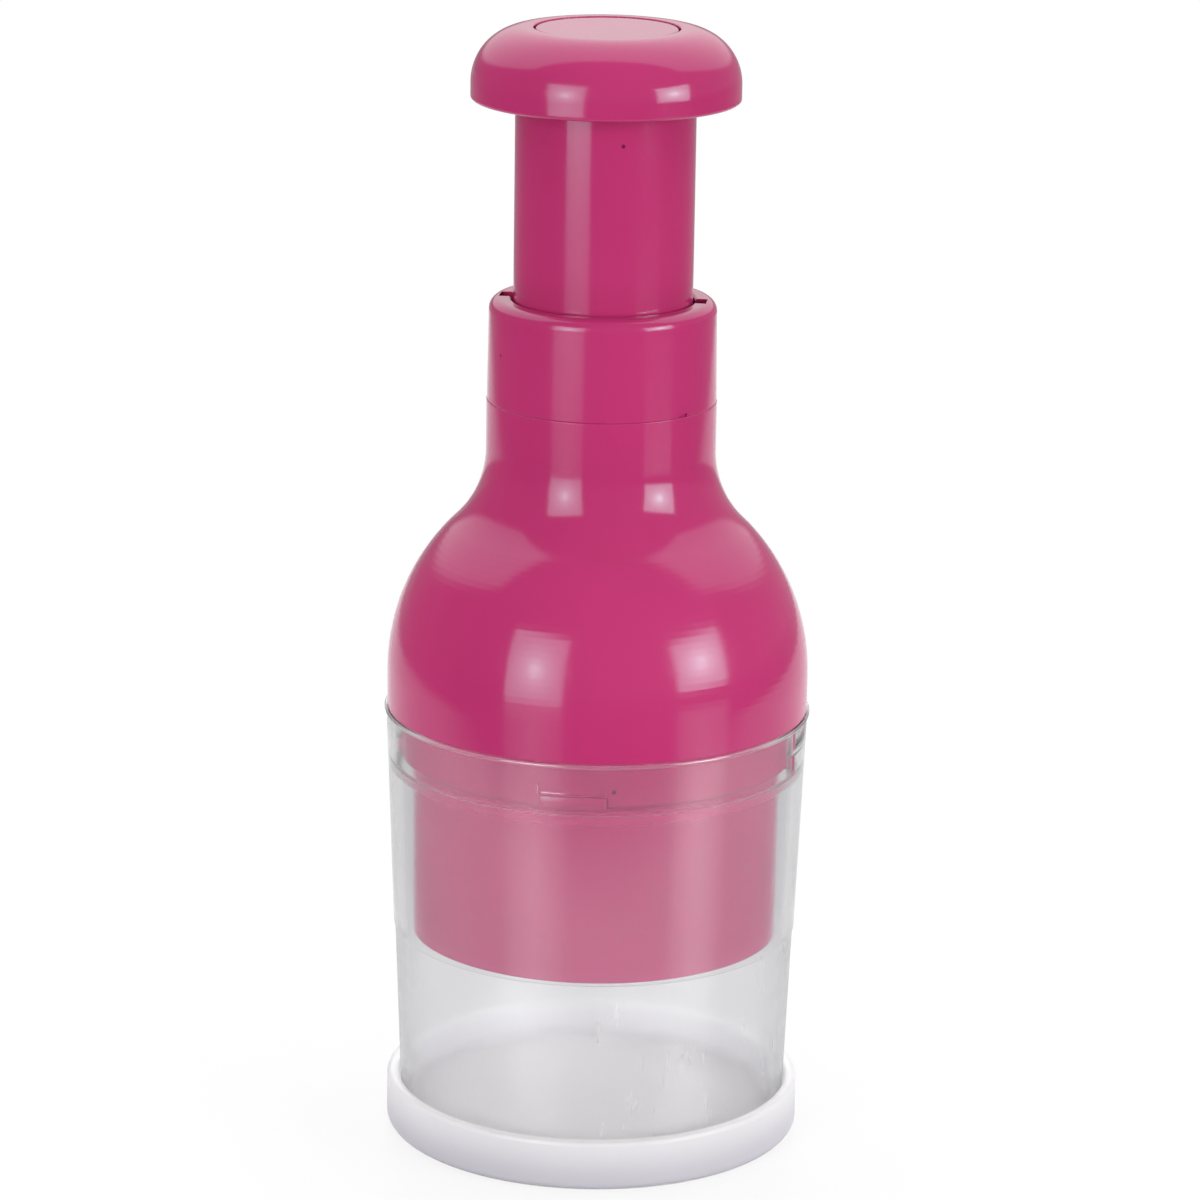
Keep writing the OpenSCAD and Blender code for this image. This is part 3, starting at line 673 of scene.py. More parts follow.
class Effects:
    """Shader groups that several finishes share."""

    FLOW_DETAIL, RIPPLE_DETAIL, GRAIN_DETAIL, PATCH_DETAIL = 3.0, 1.0, 2.0, 4.0
    # Spans of the noise that show as tone, hairlines and dull patches
    TONE, HAIRLINE, PATCH = (0.3, 0.7), (0.66, 0.72), (0.42, 0.68)
    # Turn and stretch of the two sets of hairlines
    STROKES = (((0.3, 0.1, 0.5), (1.0, 14.0, 1.0)), ((-0.4, 0.7, 0.2), (12.0, 1.0, 1.0)))
    PATCH_SCALE = 0.3
    # Chance above which a cell holds a speck
    RARE = 0.82

    def __init__(self) -> None:
        """Builds each group once."""
        self.skin = self._moulded_skin()
        self.marks = self._handling_marks()
        self.specks = self._specks()

    def _moulded_skin(self) -> Nodes:
        """Group for moulded plastic: slow changes of tone and a fine ripple of the surface.

        Returns:
            The group.
        """
        tree, into, out = new_group(
            "moulded_skin", "ShaderNodeTree",
            {"Vector": "Vector", "Flow Scale": "Float", "Ripple Scale": "Float"},
            {"Tone": "Float", "Ripple": "Float"},
        )
        flow = tree.noise(into["Vector"], into["Flow Scale"], self.FLOW_DETAIL)
        tree.feed(out["Tone"], tree.rise(flow, self.TONE))
        tree.feed(out["Ripple"], tree.noise(into["Vector"], into["Ripple Scale"], self.RIPPLE_DETAIL))
        return tree.tree

    def _handling_marks(self) -> Nodes:
        """Group for handling: faint hairlines and dull patches on a glossy surface.

        Returns:
            The group.
        """
        tree, into, out = new_group(
            "handling_marks", "ShaderNodeTree",
            {"Vector": "Vector", "Scale": "Float"}, {"Hairlines": "Float", "Smear": "Float"},
        )
        lines: list[Socket] = []
        for turn, stretch in self.STROKES:
            place = tree.add("Mapping", {"Vector": into["Vector"], "Rotation": turn, "Scale": stretch})
            grain = tree.noise(place.outputs[0], into["Scale"], self.GRAIN_DETAIL)
            lines.append(tree.rise(grain, self.HAIRLINE))
        patch = tree.noise(into["Vector"], tree.times(into["Scale"], self.PATCH_SCALE), self.PATCH_DETAIL)
        tree.feed(out["Hairlines"], tree.math("MAXIMUM", *lines))
        tree.feed(out["Smear"], tree.rise(patch, self.PATCH))
        return tree.tree

    def _specks(self) -> Nodes:
        """Group for the few tiny specks that sit in moulded plastic.

        Returns:
            The group.
        """
        tree, into, out = new_group(
            "specks", "ShaderNodeTree",
            {"Vector": "Vector", "Scale": "Float", "Size": "Float"}, {"Specks": "Float"},
        )
        cells = tree.add("TexVoronoi", {"Vector": into["Vector"], "Scale": into["Scale"]}).outputs
        chance = tree.add("TexWhiteNoise", {"Vector": cells["Position"]}).outputs["Value"]
        near = tree.math("LESS_THAN", cells["Distance"], into["Size"])
        tree.feed(out["Specks"], tree.times(near, tree.math("GREATER_THAN", chance, self.RARE)))
        return tree.tree


# Finishes


class Mark(str, Enum):
    """What handling leaves on a surface."""

    SMEAR = "Smear"
    HAIRLINES = "Hairlines"


Wear = tuple[tuple[Mark, float], ...]


@dataclass(frozen=True)
class Bench:
    """One material while it is made: its tree, shader, coordinates and the shared groups."""

    tree: Tree
    shader: Node
    place: Socket
    effects: Effects

    def set(self, values: dict[str, object]) -> None:
        """Sets or links inputs of the shader by name."""
        for name, value in values.items():
            self.tree.feed(self.shader.inputs[name], value)

    def group(self, effect: Nodes, values: dict[str, object]) -> bpy.types.NodeOutputs:
        """Outputs of a shared group that is placed in the material with its own values."""
        return self.tree.add("Group", {"Vector": self.place, **values}, node_tree=effect).outputs

    def ripple(self, height: Socket, depth: float) -> None:
        """Gives the surface a fine bump of a depth in metres."""
        bump = self.tree.add("Bump", {"Height": height, "Strength": 1.0, "Distance": depth})
        self.set({"Normal": bump.outputs[0]})

    def height(self) -> Socket:
        """Height of a place on the piece, in metres."""
        return self.tree.add("SeparateXYZ", {0: self.place}).outputs["Z"]

    def reach(self) -> Socket:
        """Distance of a place on the piece from the axis, in metres."""
        return self.tree.vector("LENGTH", self.tree.vector("MULTIPLY", self.place, (1.0, 1.0, 0.0)))


@dataclass(frozen=True)
class Finish(ABC):
    """A material of the chopper, with the scale of its handling marks and how dull they are."""

    name: str
    gloss: float
    mark_scale: float
    wear: Wear

    @abstractmethod
    def dress(self, bench: Bench) -> None:
        """Sets the shader's sockets and what feeds them."""

    def surface(self, bench: Bench) -> Socket:
        """What the material shows, which is its shader where nothing is mixed in."""
        return bench.shader.outputs[0]

    def worn(self, bench: Bench, level: object) -> Socket:
        """Roughness with handling marks on it.

        Args:
            bench: The material in the making.
            level: Roughness of the clean surface, as a number or socket.

        Returns:
            The socket with the roughness.
        """
        marks = bench.group(bench.effects.marks, {"Scale": self.mark_scale})
        for mark, share in self.wear:
            level = bench.tree.plus(bench.tree.times(marks[mark.value], share), level)
        return level

    def build(self, effects: Effects) -> bpy.types.Material:
        """Makes the material.

        Args:
            effects: The shared shader groups.

        Returns:
            The material.
        """
        made = bpy.data.materials.new(self.name)
        tree = cleared(made)
        bench = Bench(tree, tree.add("BsdfPrincipled"), tree.add("TexCoord").outputs["Object"], effects)
        self.dress(bench)
        tree.add("OutputMaterial", {"Surface": self.surface(bench)})
        return made


@dataclass(frozen=True)
class MouldedPlastic(Finish):
    """Moulded plastic with a fine ripple, its depth in metres. As it stands it is matte and unpainted."""

    gloss: float = 0.42
    mark_scale: float = 120.0
    wear: Wear = ((Mark.HAIRLINES, 0.15),)
    bright: Colour = (0.76, 0.745, 0.68)
    deep: Colour = (0.68, 0.66, 0.59)
    flow_scale: float = 60.0
    ripple_scale: float = 1400.0
    depth: float = 0.00001

    def dress(self, bench: Bench) -> None:
        """Sets the shader's sockets and what feeds them."""
        bench.set({"Base Color": self.moulded(bench), "Roughness": self.worn(bench, self.gloss)})

    def moulded(self, bench: Bench) -> Socket:
        """Ripples the surface.

        Args:
            bench: The material in the making.

        Returns:
            The socket with the plastic's changing colour.
        """
        values = {"Flow Scale": self.flow_scale, "Ripple Scale": self.ripple_scale}
        skin = bench.group(bench.effects.skin, values)
        bench.ripple(skin["Ripple"], self.depth)
        return bench.tree.blend(skin["Tone"], self.deep, self.bright)


@dataclass(frozen=True)
class GlossPlastic(MouldedPlastic):
    """Glossy coloured plastic with faint flow lines, hairlines and a speck here and there."""

    gloss: float = 0.10
    mark_scale: float = 90.0
    wear: Wear = ((Mark.SMEAR, 0.06), (Mark.HAIRLINES, 0.05))
    bright: Colour = (0.46, 0.0280, 0.140)
    deep: Colour = (0.43, 0.0255, 0.130)
    flow_scale: float = 28.0
    ripple_scale: float = 520.0
    depth: float = 0.000004
    speck: Colour = (0.16, 0.008, 0.036)
    speck_scale: float = 70.0
    speck_size: float = 0.035
    sheen: Colour = (0.55, 0.95, 1.0)
    shine: float = 0.43
    bend: float = 1.5

    def dress(self, bench: Bench) -> None:
        """Sets the shader's sockets and what feeds them."""
        specks = bench.group(bench.effects.specks, {"Scale": self.speck_scale, "Size": self.speck_size})
        bench.set({
            "Base Color": bench.tree.blend(specks["Specks"], self.moulded(bench), self.speck),
            "Roughness": self.worn(bench, self.gloss),
            "IOR": self.bend,
            "Specular IOR Level": self.shine,
            "Specular Tint": (*self.sheen, 1.0),
        })


@dataclass(frozen=True)
class ClearPlastic(Finish):
    """Clear plastic with a faint grey tint, fine scuffs, and frost on its rim and ledge. Its base colour
    holds painted shade and painted light: a darker tint on the upper wall shades the skirt seen through it, a
    lighter tint on the lower wall lights the lid seen through it, and white on the frosted rim and ledge
    lightens them. Spans in metres.
    """

    gloss: float = 0.09
    mark_scale: float = 70.0
    wear: Wear = ((Mark.SMEAR, 0.03), (Mark.HAIRLINES, 0.015))
    # Painted shade and painted light: the upper wall takes the darker tint, which darkens the skirt seen
    # through it, and the lower wall the lighter one, which brightens the lid seen through it
    tint: Colour = (0.82, 0.82, 0.83)
    lit_lower_tint: Colour = (0.92, 0.92, 0.93)
    shade: Colour = (0.67, 0.67, 0.68)
    haze: float = 0.24
    haze_span: Point2 = (0.0457, 0.0463)
    frost: float = 0.32
    rim_span: Point2 = (0.0940, 0.0943)
    inner_span: Point2 = (0.0434, 0.0436)
    ledge_low: Point2 = (0.0806, 0.0814)
    ledge_high: Point2 = (0.0838, 0.0846)
    clearness: float = 0.99
    bend: float = 1.14
    coat: float = 0.6
    coat_facing: Point2 = (0.3, 0.62)
    coat_bend: float = 2.0

    def dress(self, bench: Bench) -> None:
        """Sets the shader's sockets and what feeds them.

        Args:
            bench: The material in the making.
        """
        tree, height = bench.tree, bench.height()
        upper = tree.rise(height, self.haze_span)
        rim = tree.rise(height, self.rim_span)
        band = tree.times(tree.rise(height, self.ledge_low), tree.fall(height, self.ledge_high))
        ledge = tree.times(tree.fall(bench.reach(), self.inner_span), band)
        frost = tree.math("MAXIMUM", rim, ledge)
        dull = tree.range(upper, (0.0, 1.0), (self.haze, self.gloss))
        facing = tree.add("LayerWeight", {"Blend": 0.5}).outputs["Facing"]
        front = tree.range(facing, self.coat_facing, (self.coat, 0.0))
        bench.set({
            # Painted shade and painted light in the base colour: darker tint above, lighter tint below, and
            # white on the frosted rim and ledge, which lightens them; their frost itself is roughness
            "Base Color": tree.blend(frost, tree.blend(upper, self.lit_lower_tint, self.tint), WHITE),
            "Roughness": self.worn(bench, tree.plus(dull, tree.times(tree.plus(frost, rim), self.frost))),
            "IOR": self.bend,
            "Transmission Weight": self.clearness,
            "Coat Weight": tree.math("MAXIMUM", rim, front),
            "Coat IOR": self.coat_bend,
            "Coat Roughness": self.gloss,
        })

    def surface(self, bench: Bench) -> Socket:
        """What the material shows: its shader, with a plain grey shade in its shadow.

        Args:
            bench: The material in the making.

        Returns:
            The socket with the surface.
        """
        shadow = bench.tree.add("LightPath").outputs["Is Shadow Ray"]
        through = bench.tree.add("BsdfTransparent", {"Color": (*self.shade, 1.0)}).outputs[0]
        return bench.tree.add("MixShader", {0: shadow, 1: bench.shader.outputs[0], 2: through}).outputs[0]


@dataclass(frozen=True)
class MilkyPlastic(MouldedPlastic):
    """Milky white plastic that lets a little light through, with painted shade on its outer ring: grey there,
    darker towards the foot. Spans and scatter in metres.
    """

    gloss: float = 0.36
    mark_scale: float = 80.0
    wear: Wear = ((Mark.SMEAR, 0.10),)
    bright: Colour = (0.95, 0.935, 0.945)
    deep: Colour = (0.93, 0.915, 0.93)
    flow_scale: float = 22.0
    ripple_scale: float = 700.0
    depth: float = 0.000006
    # Painted shade: the outer ring's grey, and the darker grey towards its foot, stand in for the shade on
    # the lid's side
    rim: Colour = (0.61, 0.60, 0.62)
    foot: Colour = (0.48, 0.465, 0.51)
    shaded_ring_radius: Point2 = (0.0436, 0.0446)
    shade_fade_height: Point2 = (0.001, 0.010)
    bend: float = 1.49
    scatter: float = 0.8
    scatter_reach: Point3 = (0.008, 0.008, 0.0085)

    def dress(self, bench: Bench) -> None:
        """Sets the shader's sockets and what feeds them.

        Args:
            bench: The material in the making.
        """
        tree = bench.tree
        # Painted shade: the outer ring takes grey, darker towards its foot
        ring = tree.rise(bench.reach(), self.shaded_ring_radius)
        edge = tree.blend(tree.rise(bench.height(), self.shade_fade_height), self.foot, self.rim)
        bench.set({
            "Base Color": tree.blend(ring, self.moulded(bench), edge),
            "Roughness": self.worn(bench, self.gloss),
            "IOR": self.bend,
            "Subsurface Weight": self.scatter,
            "Subsurface Radius": self.scatter_reach,
            "Subsurface Scale": 1.0,
        })


@dataclass(frozen=True)
class BrightSteel(Finish):
    """Rolled stainless steel with a fine grain along the strip."""

    gloss: float = 0.2
    mark_scale: float = 140.0
    wear: Wear = ((Mark.SMEAR, 0.08),)
    bright: Colour = (0.66, 0.665, 0.68)
    deep: Colour = (0.52, 0.525, 0.54)
    grain: Point3 = (40.0, 40.0, 900.0)
    grain_scale: float = 4.0
    grain_detail: float = 4.0
    grain_dull: float = 0.14
    depth: float = 0.000004

    def dress(self, bench: Bench) -> None:
        """Sets the shader's sockets and what feeds them.

        Args:
            bench: The material in the making.
        """
        tree = bench.tree
        rolled = tree.add("Mapping", {"Vector": bench.place, "Scale": self.grain}).outputs[0]
        lines = tree.noise(rolled, self.grain_scale, self.grain_detail)
        bench.set({
            "Base Color": tree.blend(lines, self.deep, self.bright),
            "Roughness": self.worn(bench, tree.plus(tree.times(lines, self.grain_dull), self.gloss)),
            "Metallic": 1.0,
        })
        bench.ripple(lines, self.depth)


class Finishes:
    """The materials of the chopper, one for each slot of the record."""

    def __init__(self, effects: Effects) -> None:
        """Builds each finish once."""
        self.by_slot: dict[Slot, bpy.types.Material] = {
            Slot.PINK: GlossPlastic("pink_gloss").build(effects),
            Slot.CLEAR: ClearPlastic("clear_wall").build(effects),
            Slot.WHITE: MilkyPlastic("milky_white").build(effects),
            Slot.NATURAL: MouldedPlastic("natural_moulded").build(effects),
            Slot.STEEL: BrightSteel("rolled_steel").build(effects),
        }

    def __getitem__(self, slot: Slot) -> bpy.types.Material:
        """Material of a slot."""
        return self.by_slot[slot]


# Sub-assemblies


@dataclass
class SubAssembly(ABC):
    """A group of pieces that are built and dressed together."""

    growth: Growth
    finishes: Finishes

    @abstractmethod
    def build(self) -> None:
        """Builds and places the pieces."""

    def place(self, piece: Thing, body: Body, slot: Slot, *nodes: str) -> None:
        """Dresses a piece and sets it on its body in place of CAD nodes.

        Args:
            piece: The finished mesh.
            body: The body that it rides on.
            slot: The record's slot for its finish.
            *nodes: CAD nodes that it stands for.
        """
        piece.data.materials.clear()
        piece.data.materials.append(self.finishes[slot])
        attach(piece, body.value)
        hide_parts(*nodes)
        log.info("%s on %s, %d faces", piece.name, body.value, len(piece.data.polygons))


@dataclass
class BaseLid(SubAssembly):
    """Milky dish that the container stands in. Sizes in millimetres."""

    radius: float = 45.077
    height: float = 11.2
    floor: float = 4.4
    ring_in: float = 42.477
    edge: float = 2.2
    brim: float = 0.9

    def build(self) -> None:
        """Builds and places the pieces."""
        lid = lathe("lid_dish", [
            (0.0, 0.0),
            (self.radius, 0.0, self.edge), (self.radius, self.height, self.brim),
            (self.ring_in, self.height, SOFT), (self.ring_in, self.floor, SOFT),
            (0.0, self.floor),
        ])
        self.place(lid, Body.BASE, Slot.WHITE, "base_lid")


@dataclass
class ClearContainer(SubAssembly):
    """Clear tapered wall with its bayonet mouth. Sizes in millimetres."""

    foot: float = 4.7
    rim: float = 95.0
    foot_in: float = 39.889
    foot_out: float = 41.889
    step_height: float = 46.0
    step_low: float = 43.403
    step_high: float = 43.703
    step_rise: float = 0.35
    step_round: float = 0.15
    rim_wall: float = 45.474
    rim_out: float = 45.9
    rim_thick: float = 0.7
    rim_round: float = 0.4
    rim_under: float = 0.25
    mouth: float = 43.3
    ledge: float = 83.4
    ledge_in: float = 42.2
    ledge_foot: float = 82.9
    tab_in: float = 42.3
    tab_root: float = 0.6
    tab_heights: Point2 = (87.6, 90.1)
    tab_face: float = 0.833
    tab_half: float = 9.89
    stop_heights: Point2 = (81.0, 93.0)
    stop_angles: Point2 = (-12.405, -10.287)
    lugs: int = 4

    def build(self) -> None:
        """Builds and places the pieces."""
        under = self.rim - self.rim_thick
        wall = lathe("clear_wall", [
            (self.foot_in, self.foot, FINE), (self.foot_out, self.foot, FINE),
            (self.step_low, self.step_height - self.step_rise, self.step_round),
            (self.step_high, self.step_height, self.step_round),
            (self.rim_wall, under, CRISP), (self.rim_out, under, self.rim_under),
            (self.rim_out, self.rim, self.rim_round), (self.mouth, self.rim, SOFT),
            (self.mouth, self.ledge, CRISP), (self.ledge_in, self.ledge_foot, CRISP),
        ], segments=160)
        low, high = self.tab_heights
        root = self.mouth + self.tab_root
        face = low + self.tab_face
        ramp = (high - face) / (self.mouth - self.tab_in)
        back = face + ramp * (root - self.tab_in)
        section = [(self.tab_in, low), (root, low), (root, back), (self.tab_in, face)]
        tab = sector("tab", section, (-self.tab_half, self.tab_half), CRISP)
        ribbed = sector("ribbed_tab", section, (sum(self.stop_angles) / 2, self.tab_half), CRISP)
        upright = oblong((self.tab_in, root), self.stop_heights)
        stop = sector("stop", upright, self.stop_angles, CRISP, steps=3)
        for part, name, first in ((tab, "tabs", 90.0), (ribbed, "ribbed_tabs", 0.0), (stop, "stops", 0.0)):
            ring = self.growth.around(name, part, self.lugs // 2, self.finishes[Slot.CLEAR], first)
            carve(wall, ring, Carve.ADD)
        self.place(wall, Body.CONTAINER, Slot.CLEAR, "container")


@dataclass
class BellHousing(SubAssembly):
    """Pink dome that sweeps up into the neck. Sizes in millimetres."""

    mouth: float = 95.08
    radius: float = 45.3
    wall: float = 2.3
    dome: float = 103.0
    hollow: float = 22.8
    neck: float = 24.5
    hollow_height: float = 151.993
    seam: float = 162.793
    flange: float = 23.35
    flange_depth: float = 1.5
    outer_steps: int = 26
    inner_steps: int = 18

    def surface(self, inset: float, steps: int) -> list[Corner]:
        """Dome and hollow of the bell from bottom to top.

        Args:
            inset: Distance in from the outside.
            steps: Number of stretches along each of the two curves.

        Returns:
            Corners of the curve.
        """
        middle = self.neck + self.hollow
        sweep = math.degrees(math.acos(middle / (self.radius + self.hollow)))
        dome = arc((0.0, self.dome), self.radius - inset, 0.0, sweep, steps)
        hollow = arc((middle, self.hollow_height), self.hollow + inset, 180.0 + sweep, 180.0, steps)
        return dome + hollow[1:]

    def build(self) -> None:
        """Builds and places the pieces."""
        under = self.seam - self.flange_depth
        bell = lathe("bell", [
            (self.radius - self.wall, self.mouth, FINE), (self.radius, self.mouth, FINE),
            *self.surface(0.0, self.outer_steps),
            (self.neck, self.seam, CRISP), (self.flange, self.seam),
            (self.flange, under), (self.neck - self.wall, under),
            *reversed(self.surface(self.wall, self.inner_steps)),
        ], segments=192)
        self.place(bell, Body.HOUSING, Slot.PINK, "bell_housing")


@dataclass
class BladeGuard(SubAssembly):
    """Pink band, bayonet lugs and skirt behind the clear wall. Sizes in millimetres."""

    bottom: float = 45.0
    skirt: float = 39.6
    draft: float = 0.2
    wall: float = 1.8
    band: float = 42.0
    band_height: float = 84.2
    band_round: float = 1.4
    inner_round: float = 0.4
    mouth: float = 95.3
    ring: float = 42.95
    ring_top: float = 101.0
    lug_out: float = 42.9
    lug_heights: Point2 = (84.3, 87.3)
    lug_half: float = 9.89
    lug_bevel: float = 0.8
    lugs: int = 4

    def build(self) -> None:
        """Builds and places the pieces."""
        inner, ring_in, band_in = (size - self.wall for size in (self.skirt, self.ring, self.band))
        guard = lathe("guard", [
            (inner - self.draft, self.bottom, FINE), (self.skirt - self.draft, self.bottom, SOFT),
            (self.skirt, self.band_height, FINE), (self.band, self.band_height, self.band_round),
            (self.band, self.mouth, CRISP), (self.ring, self.mouth, CRISP),
            (self.ring, self.ring_top, FINE), (ring_in, self.ring_top, FINE),
            (ring_in, self.mouth + self.wall), (band_in, self.mouth),
            (band_in, self.band_height + self.wall, self.inner_round),
            (inner, self.band_height, self.inner_round),
        ], segments=160)
        section = oblong((self.band - self.wall / 2, self.lug_out), self.lug_heights)
        lug = sector("lug", section, (-self.lug_half, self.lug_half), self.lug_bevel)
        ring = self.growth.around("lugs", lug, self.lugs, self.finishes[Slot.PINK])
        self.place(joined("guard_skirt", [guard, ring]), Body.HOUSING, Slot.PINK, "blade_guard")


@dataclass
class NeckCollar(SubAssembly):
    """Pink cap over the neck with its two slots and the mark at its seam. Sizes in millimetres."""

    seam: float = 162.793
    seam_round: float = 0.1
    top: float = 184.493
    ring: float = 179.693
    inside: float = 22.2
    foot: float = 24.4
    brim: float = 24.1
    brim_round: float = 2.4
    bore: float = 19.4
    bore_chamfer: float = 0.45
    slot_width: float = 4.6
    slot_in: float = 1.5
    slot_out: float = 22.0
    mark_angle: float = -39.0
    mark: Point3 = (0.5, 2.4, 0.7)

    def build(self) -> None:
        """Builds and places the pieces."""
        collar = lathe("collar_cap", [
            (self.inside, self.seam, self.seam_round), (self.foot, self.seam, CRISP),
            (self.brim, self.top, self.brim_round), (self.bore + self.bore_chamfer, self.top, FINE),
            (self.bore, self.top - self.bore_chamfer, FINE), (self.bore, self.ring, CRISP),
            (self.inside, self.ring),
        ], segments=160)
        half = self.slot_width / 2
        for side in (-1.0, 1.0):
            ends = sorted((side * (self.bore - self.slot_in), side * self.slot_out))
            slot = block("slot", (ends[0], -half, self.ring - PAST), (ends[1], half, self.top + PAST))
            carve(collar, slot, Carve.CUT)
        depth, width, height = self.mark
        low = (self.foot - depth, -width / 2, self.seam - PAST)
        notch = block("notch", low, (self.foot + PAST, width / 2, self.seam + height))
        notch.data.transform(Matrix.Rotation(math.radians(self.mark_angle), 4, "Z"))
        carve(collar, notch, Carve.CUT)
        self.place(collar, Body.HOUSING, Slot.PINK, "neck_collar")


@dataclass
class Plunger(SubAssembly):
    """Tube, mushroom knob and inlaid disc. Sizes in millimetres."""

    tube: float = 19.0
    tube_wall: float = 2.1
    tube_bottom: float = 158.393
    tube_top: float = 237.293
    web: Point2 = (230.293, 233.293)
    pivot: float = 3.1
    web_ring: Point2 = (6.4, 8.0)
    key_heights: Point2 = (173.393, 179.393)
    key_root: float = 0.8
    key_out: float = 20.7
    key_width: float = 4.2
    boss_circle: float = 12.55
    boss: float = 3.15
    boss_bore: float = 1.3
    bosses: int = 3
    knob: float = 28.4
    knob_bottom: float = 226.693
    knob_top: float = 241.893
    knob_round: float = 11.5
    knob_wall: float = 2.4
    lip_round: float = 0.8
    socket: Point2 = (19.05, 21.25)
    ribs: int = 8
    rib: float = 1.4
    rib_root: float = 0.6
    rib_heights: Point2 = (3.0, 8.5)
    rib_bevel: float = 0.15
    disc: float = 15.0
    disc_gap: float = 0.3
    disc_round: float = 0.4
    recess_round: float = 0.35
    disc_heights: Point2 = (239.793, 241.693)

    def build(self) -> None:
        """Builds and places the pieces."""
        low, high = self.disc_heights
        self.place(self._tube(), Body.PLUNGER, Slot.PINK, "plunger_tube")
        self.place(self._knob(), Body.PLUNGER, Slot.PINK, "push_knob")
        disc = lathe("crown_disc", [
            (0.0, low), (self.disc, low), (self.disc, high, self.disc_round), (0.0, high),
        ], segments=120)
        self.place(disc, Body.PLUNGER, Slot.PINK, "knob_disc")

    def _tube(self) -> Thing:
        """Tube with its web, bosses and stop lugs.

        Returns:
            The tube.
        """
        inside, top = self.tube - self.tube_wall, self.tube_top
        (low, high), (ring_in, ring_out) = self.web, self.web_ring
        tube = lathe("stem", [
            (inside, self.tube_bottom, FINE), (self.tube, self.tube_bottom, SOFT),
            (self.tube, top), (inside, top), (inside, high, FINE),
            (ring_out, high), (ring_out, top), (ring_in, top), (ring_in, high),
            (self.pivot, high), (self.pivot, low), (inside, low, FINE),
        ])
        half = math.degrees(self.key_width / 2 / self.tube)
        section = oblong((self.tube - self.key_root, self.key_out), self.key_heights)
        key = sector("key", section, (-half, half), FINE, steps=4)
        keys = self.growth.around("keys", key, 2, self.finishes[Slot.PINK], 90.0)
        post = lathe("post", [
            (self.boss_bore, high - SINK), (self.boss, high - SINK),
            (self.boss, top, CRISP), (self.boss_bore, top, CRISP),
        ], segments=40)
        post.data.transform(Matrix.Translation((self.boss_circle * MM, 0, 0)))
        posts = self.growth.around("posts", post, self.bosses, self.finishes[Slot.PINK])
        return joined("plunger_stem", [tube, keys, posts])

    def _knob(self) -> Thing:
        """Hollow mushroom with its socket and ribs.

        Returns:
            The knob.
        """
        centre = (self.knob - self.knob_round, self.knob_top - self.knob_round)
        inner = self.knob_round - self.knob_wall
        stop = math.degrees(math.asin((self.tube_top - centre[1]) / inner))
        recess, inside = self.disc + self.disc_gap, self.knob - self.knob_wall
        low, high = self.socket
        shell = lathe("mushroom", [
            (0.0, self.disc_heights[0]), (recess, self.disc_heights[0], CRISP),
            (recess, self.knob_top, self.recess_round),
            *arc(centre, self.knob_round, 90.0, 0.0, 22),
            (self.knob, self.knob_bottom, self.lip_round), (inside, self.knob_bottom, SOFT),
            *arc(centre, inner, 0.0, stop, 10),
            (high, self.tube_top, FINE), (high, self.knob_bottom, FINE),
            (low, self.knob_bottom, FINE), (low, self.tube_top), (0.0, self.tube_top),
        ], segments=192)
        foot, head = (self.knob_bottom + height for height in self.rib_heights)
        half = self.rib / 2
        rib = block("rib", (high - SINK, -half, foot), (inside + self.rib_root, half, head), self.rib_bevel)
        ribs = self.growth.around("ribs", rib, self.ribs, self.finishes[Slot.PINK])
        return joined("knob_mushroom", [shell, ribs])


@dataclass
class ReturnSpring(SubAssembly):
    """Wound steel spring, built at one length, which in the chopper shortens as the plunger goes down. Sizes
    in millimetres.
    """

    seat: float = 112.693
    top: float = 229.293
    gap: float = 0.05
    mean: float = 15.0
    wire: float = 1.8
    turns: int = 14
    steps: int = 28
    close: float = 2.4
    stroke: float = 41.7

    def build(self) -> None:
        """Builds and places the pieces."""
        low = self.seat + self.wire / 2 + self.gap
        high = self.top - self.wire / 2 - self.gap
        pitch = (high - low - 2 * self.close) / (self.turns - 2)
        coil = grown("lift_spring", self.growth.coil, {
            "Turns": float(self.turns), "Steps": self.steps, "Mean Radius": self.mean * MM,
            "Wire Radius": self.wire / 2 * MM, "Bottom": low * MM, "Close Pitch": self.close * MM,
            "Open Pitch": pitch * MM, "Finish": self.finishes[Slot.STEEL],
        })
        self.place(coil, Body.HOUSING, Slot.STEEL, "return_spring")
        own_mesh(coil)


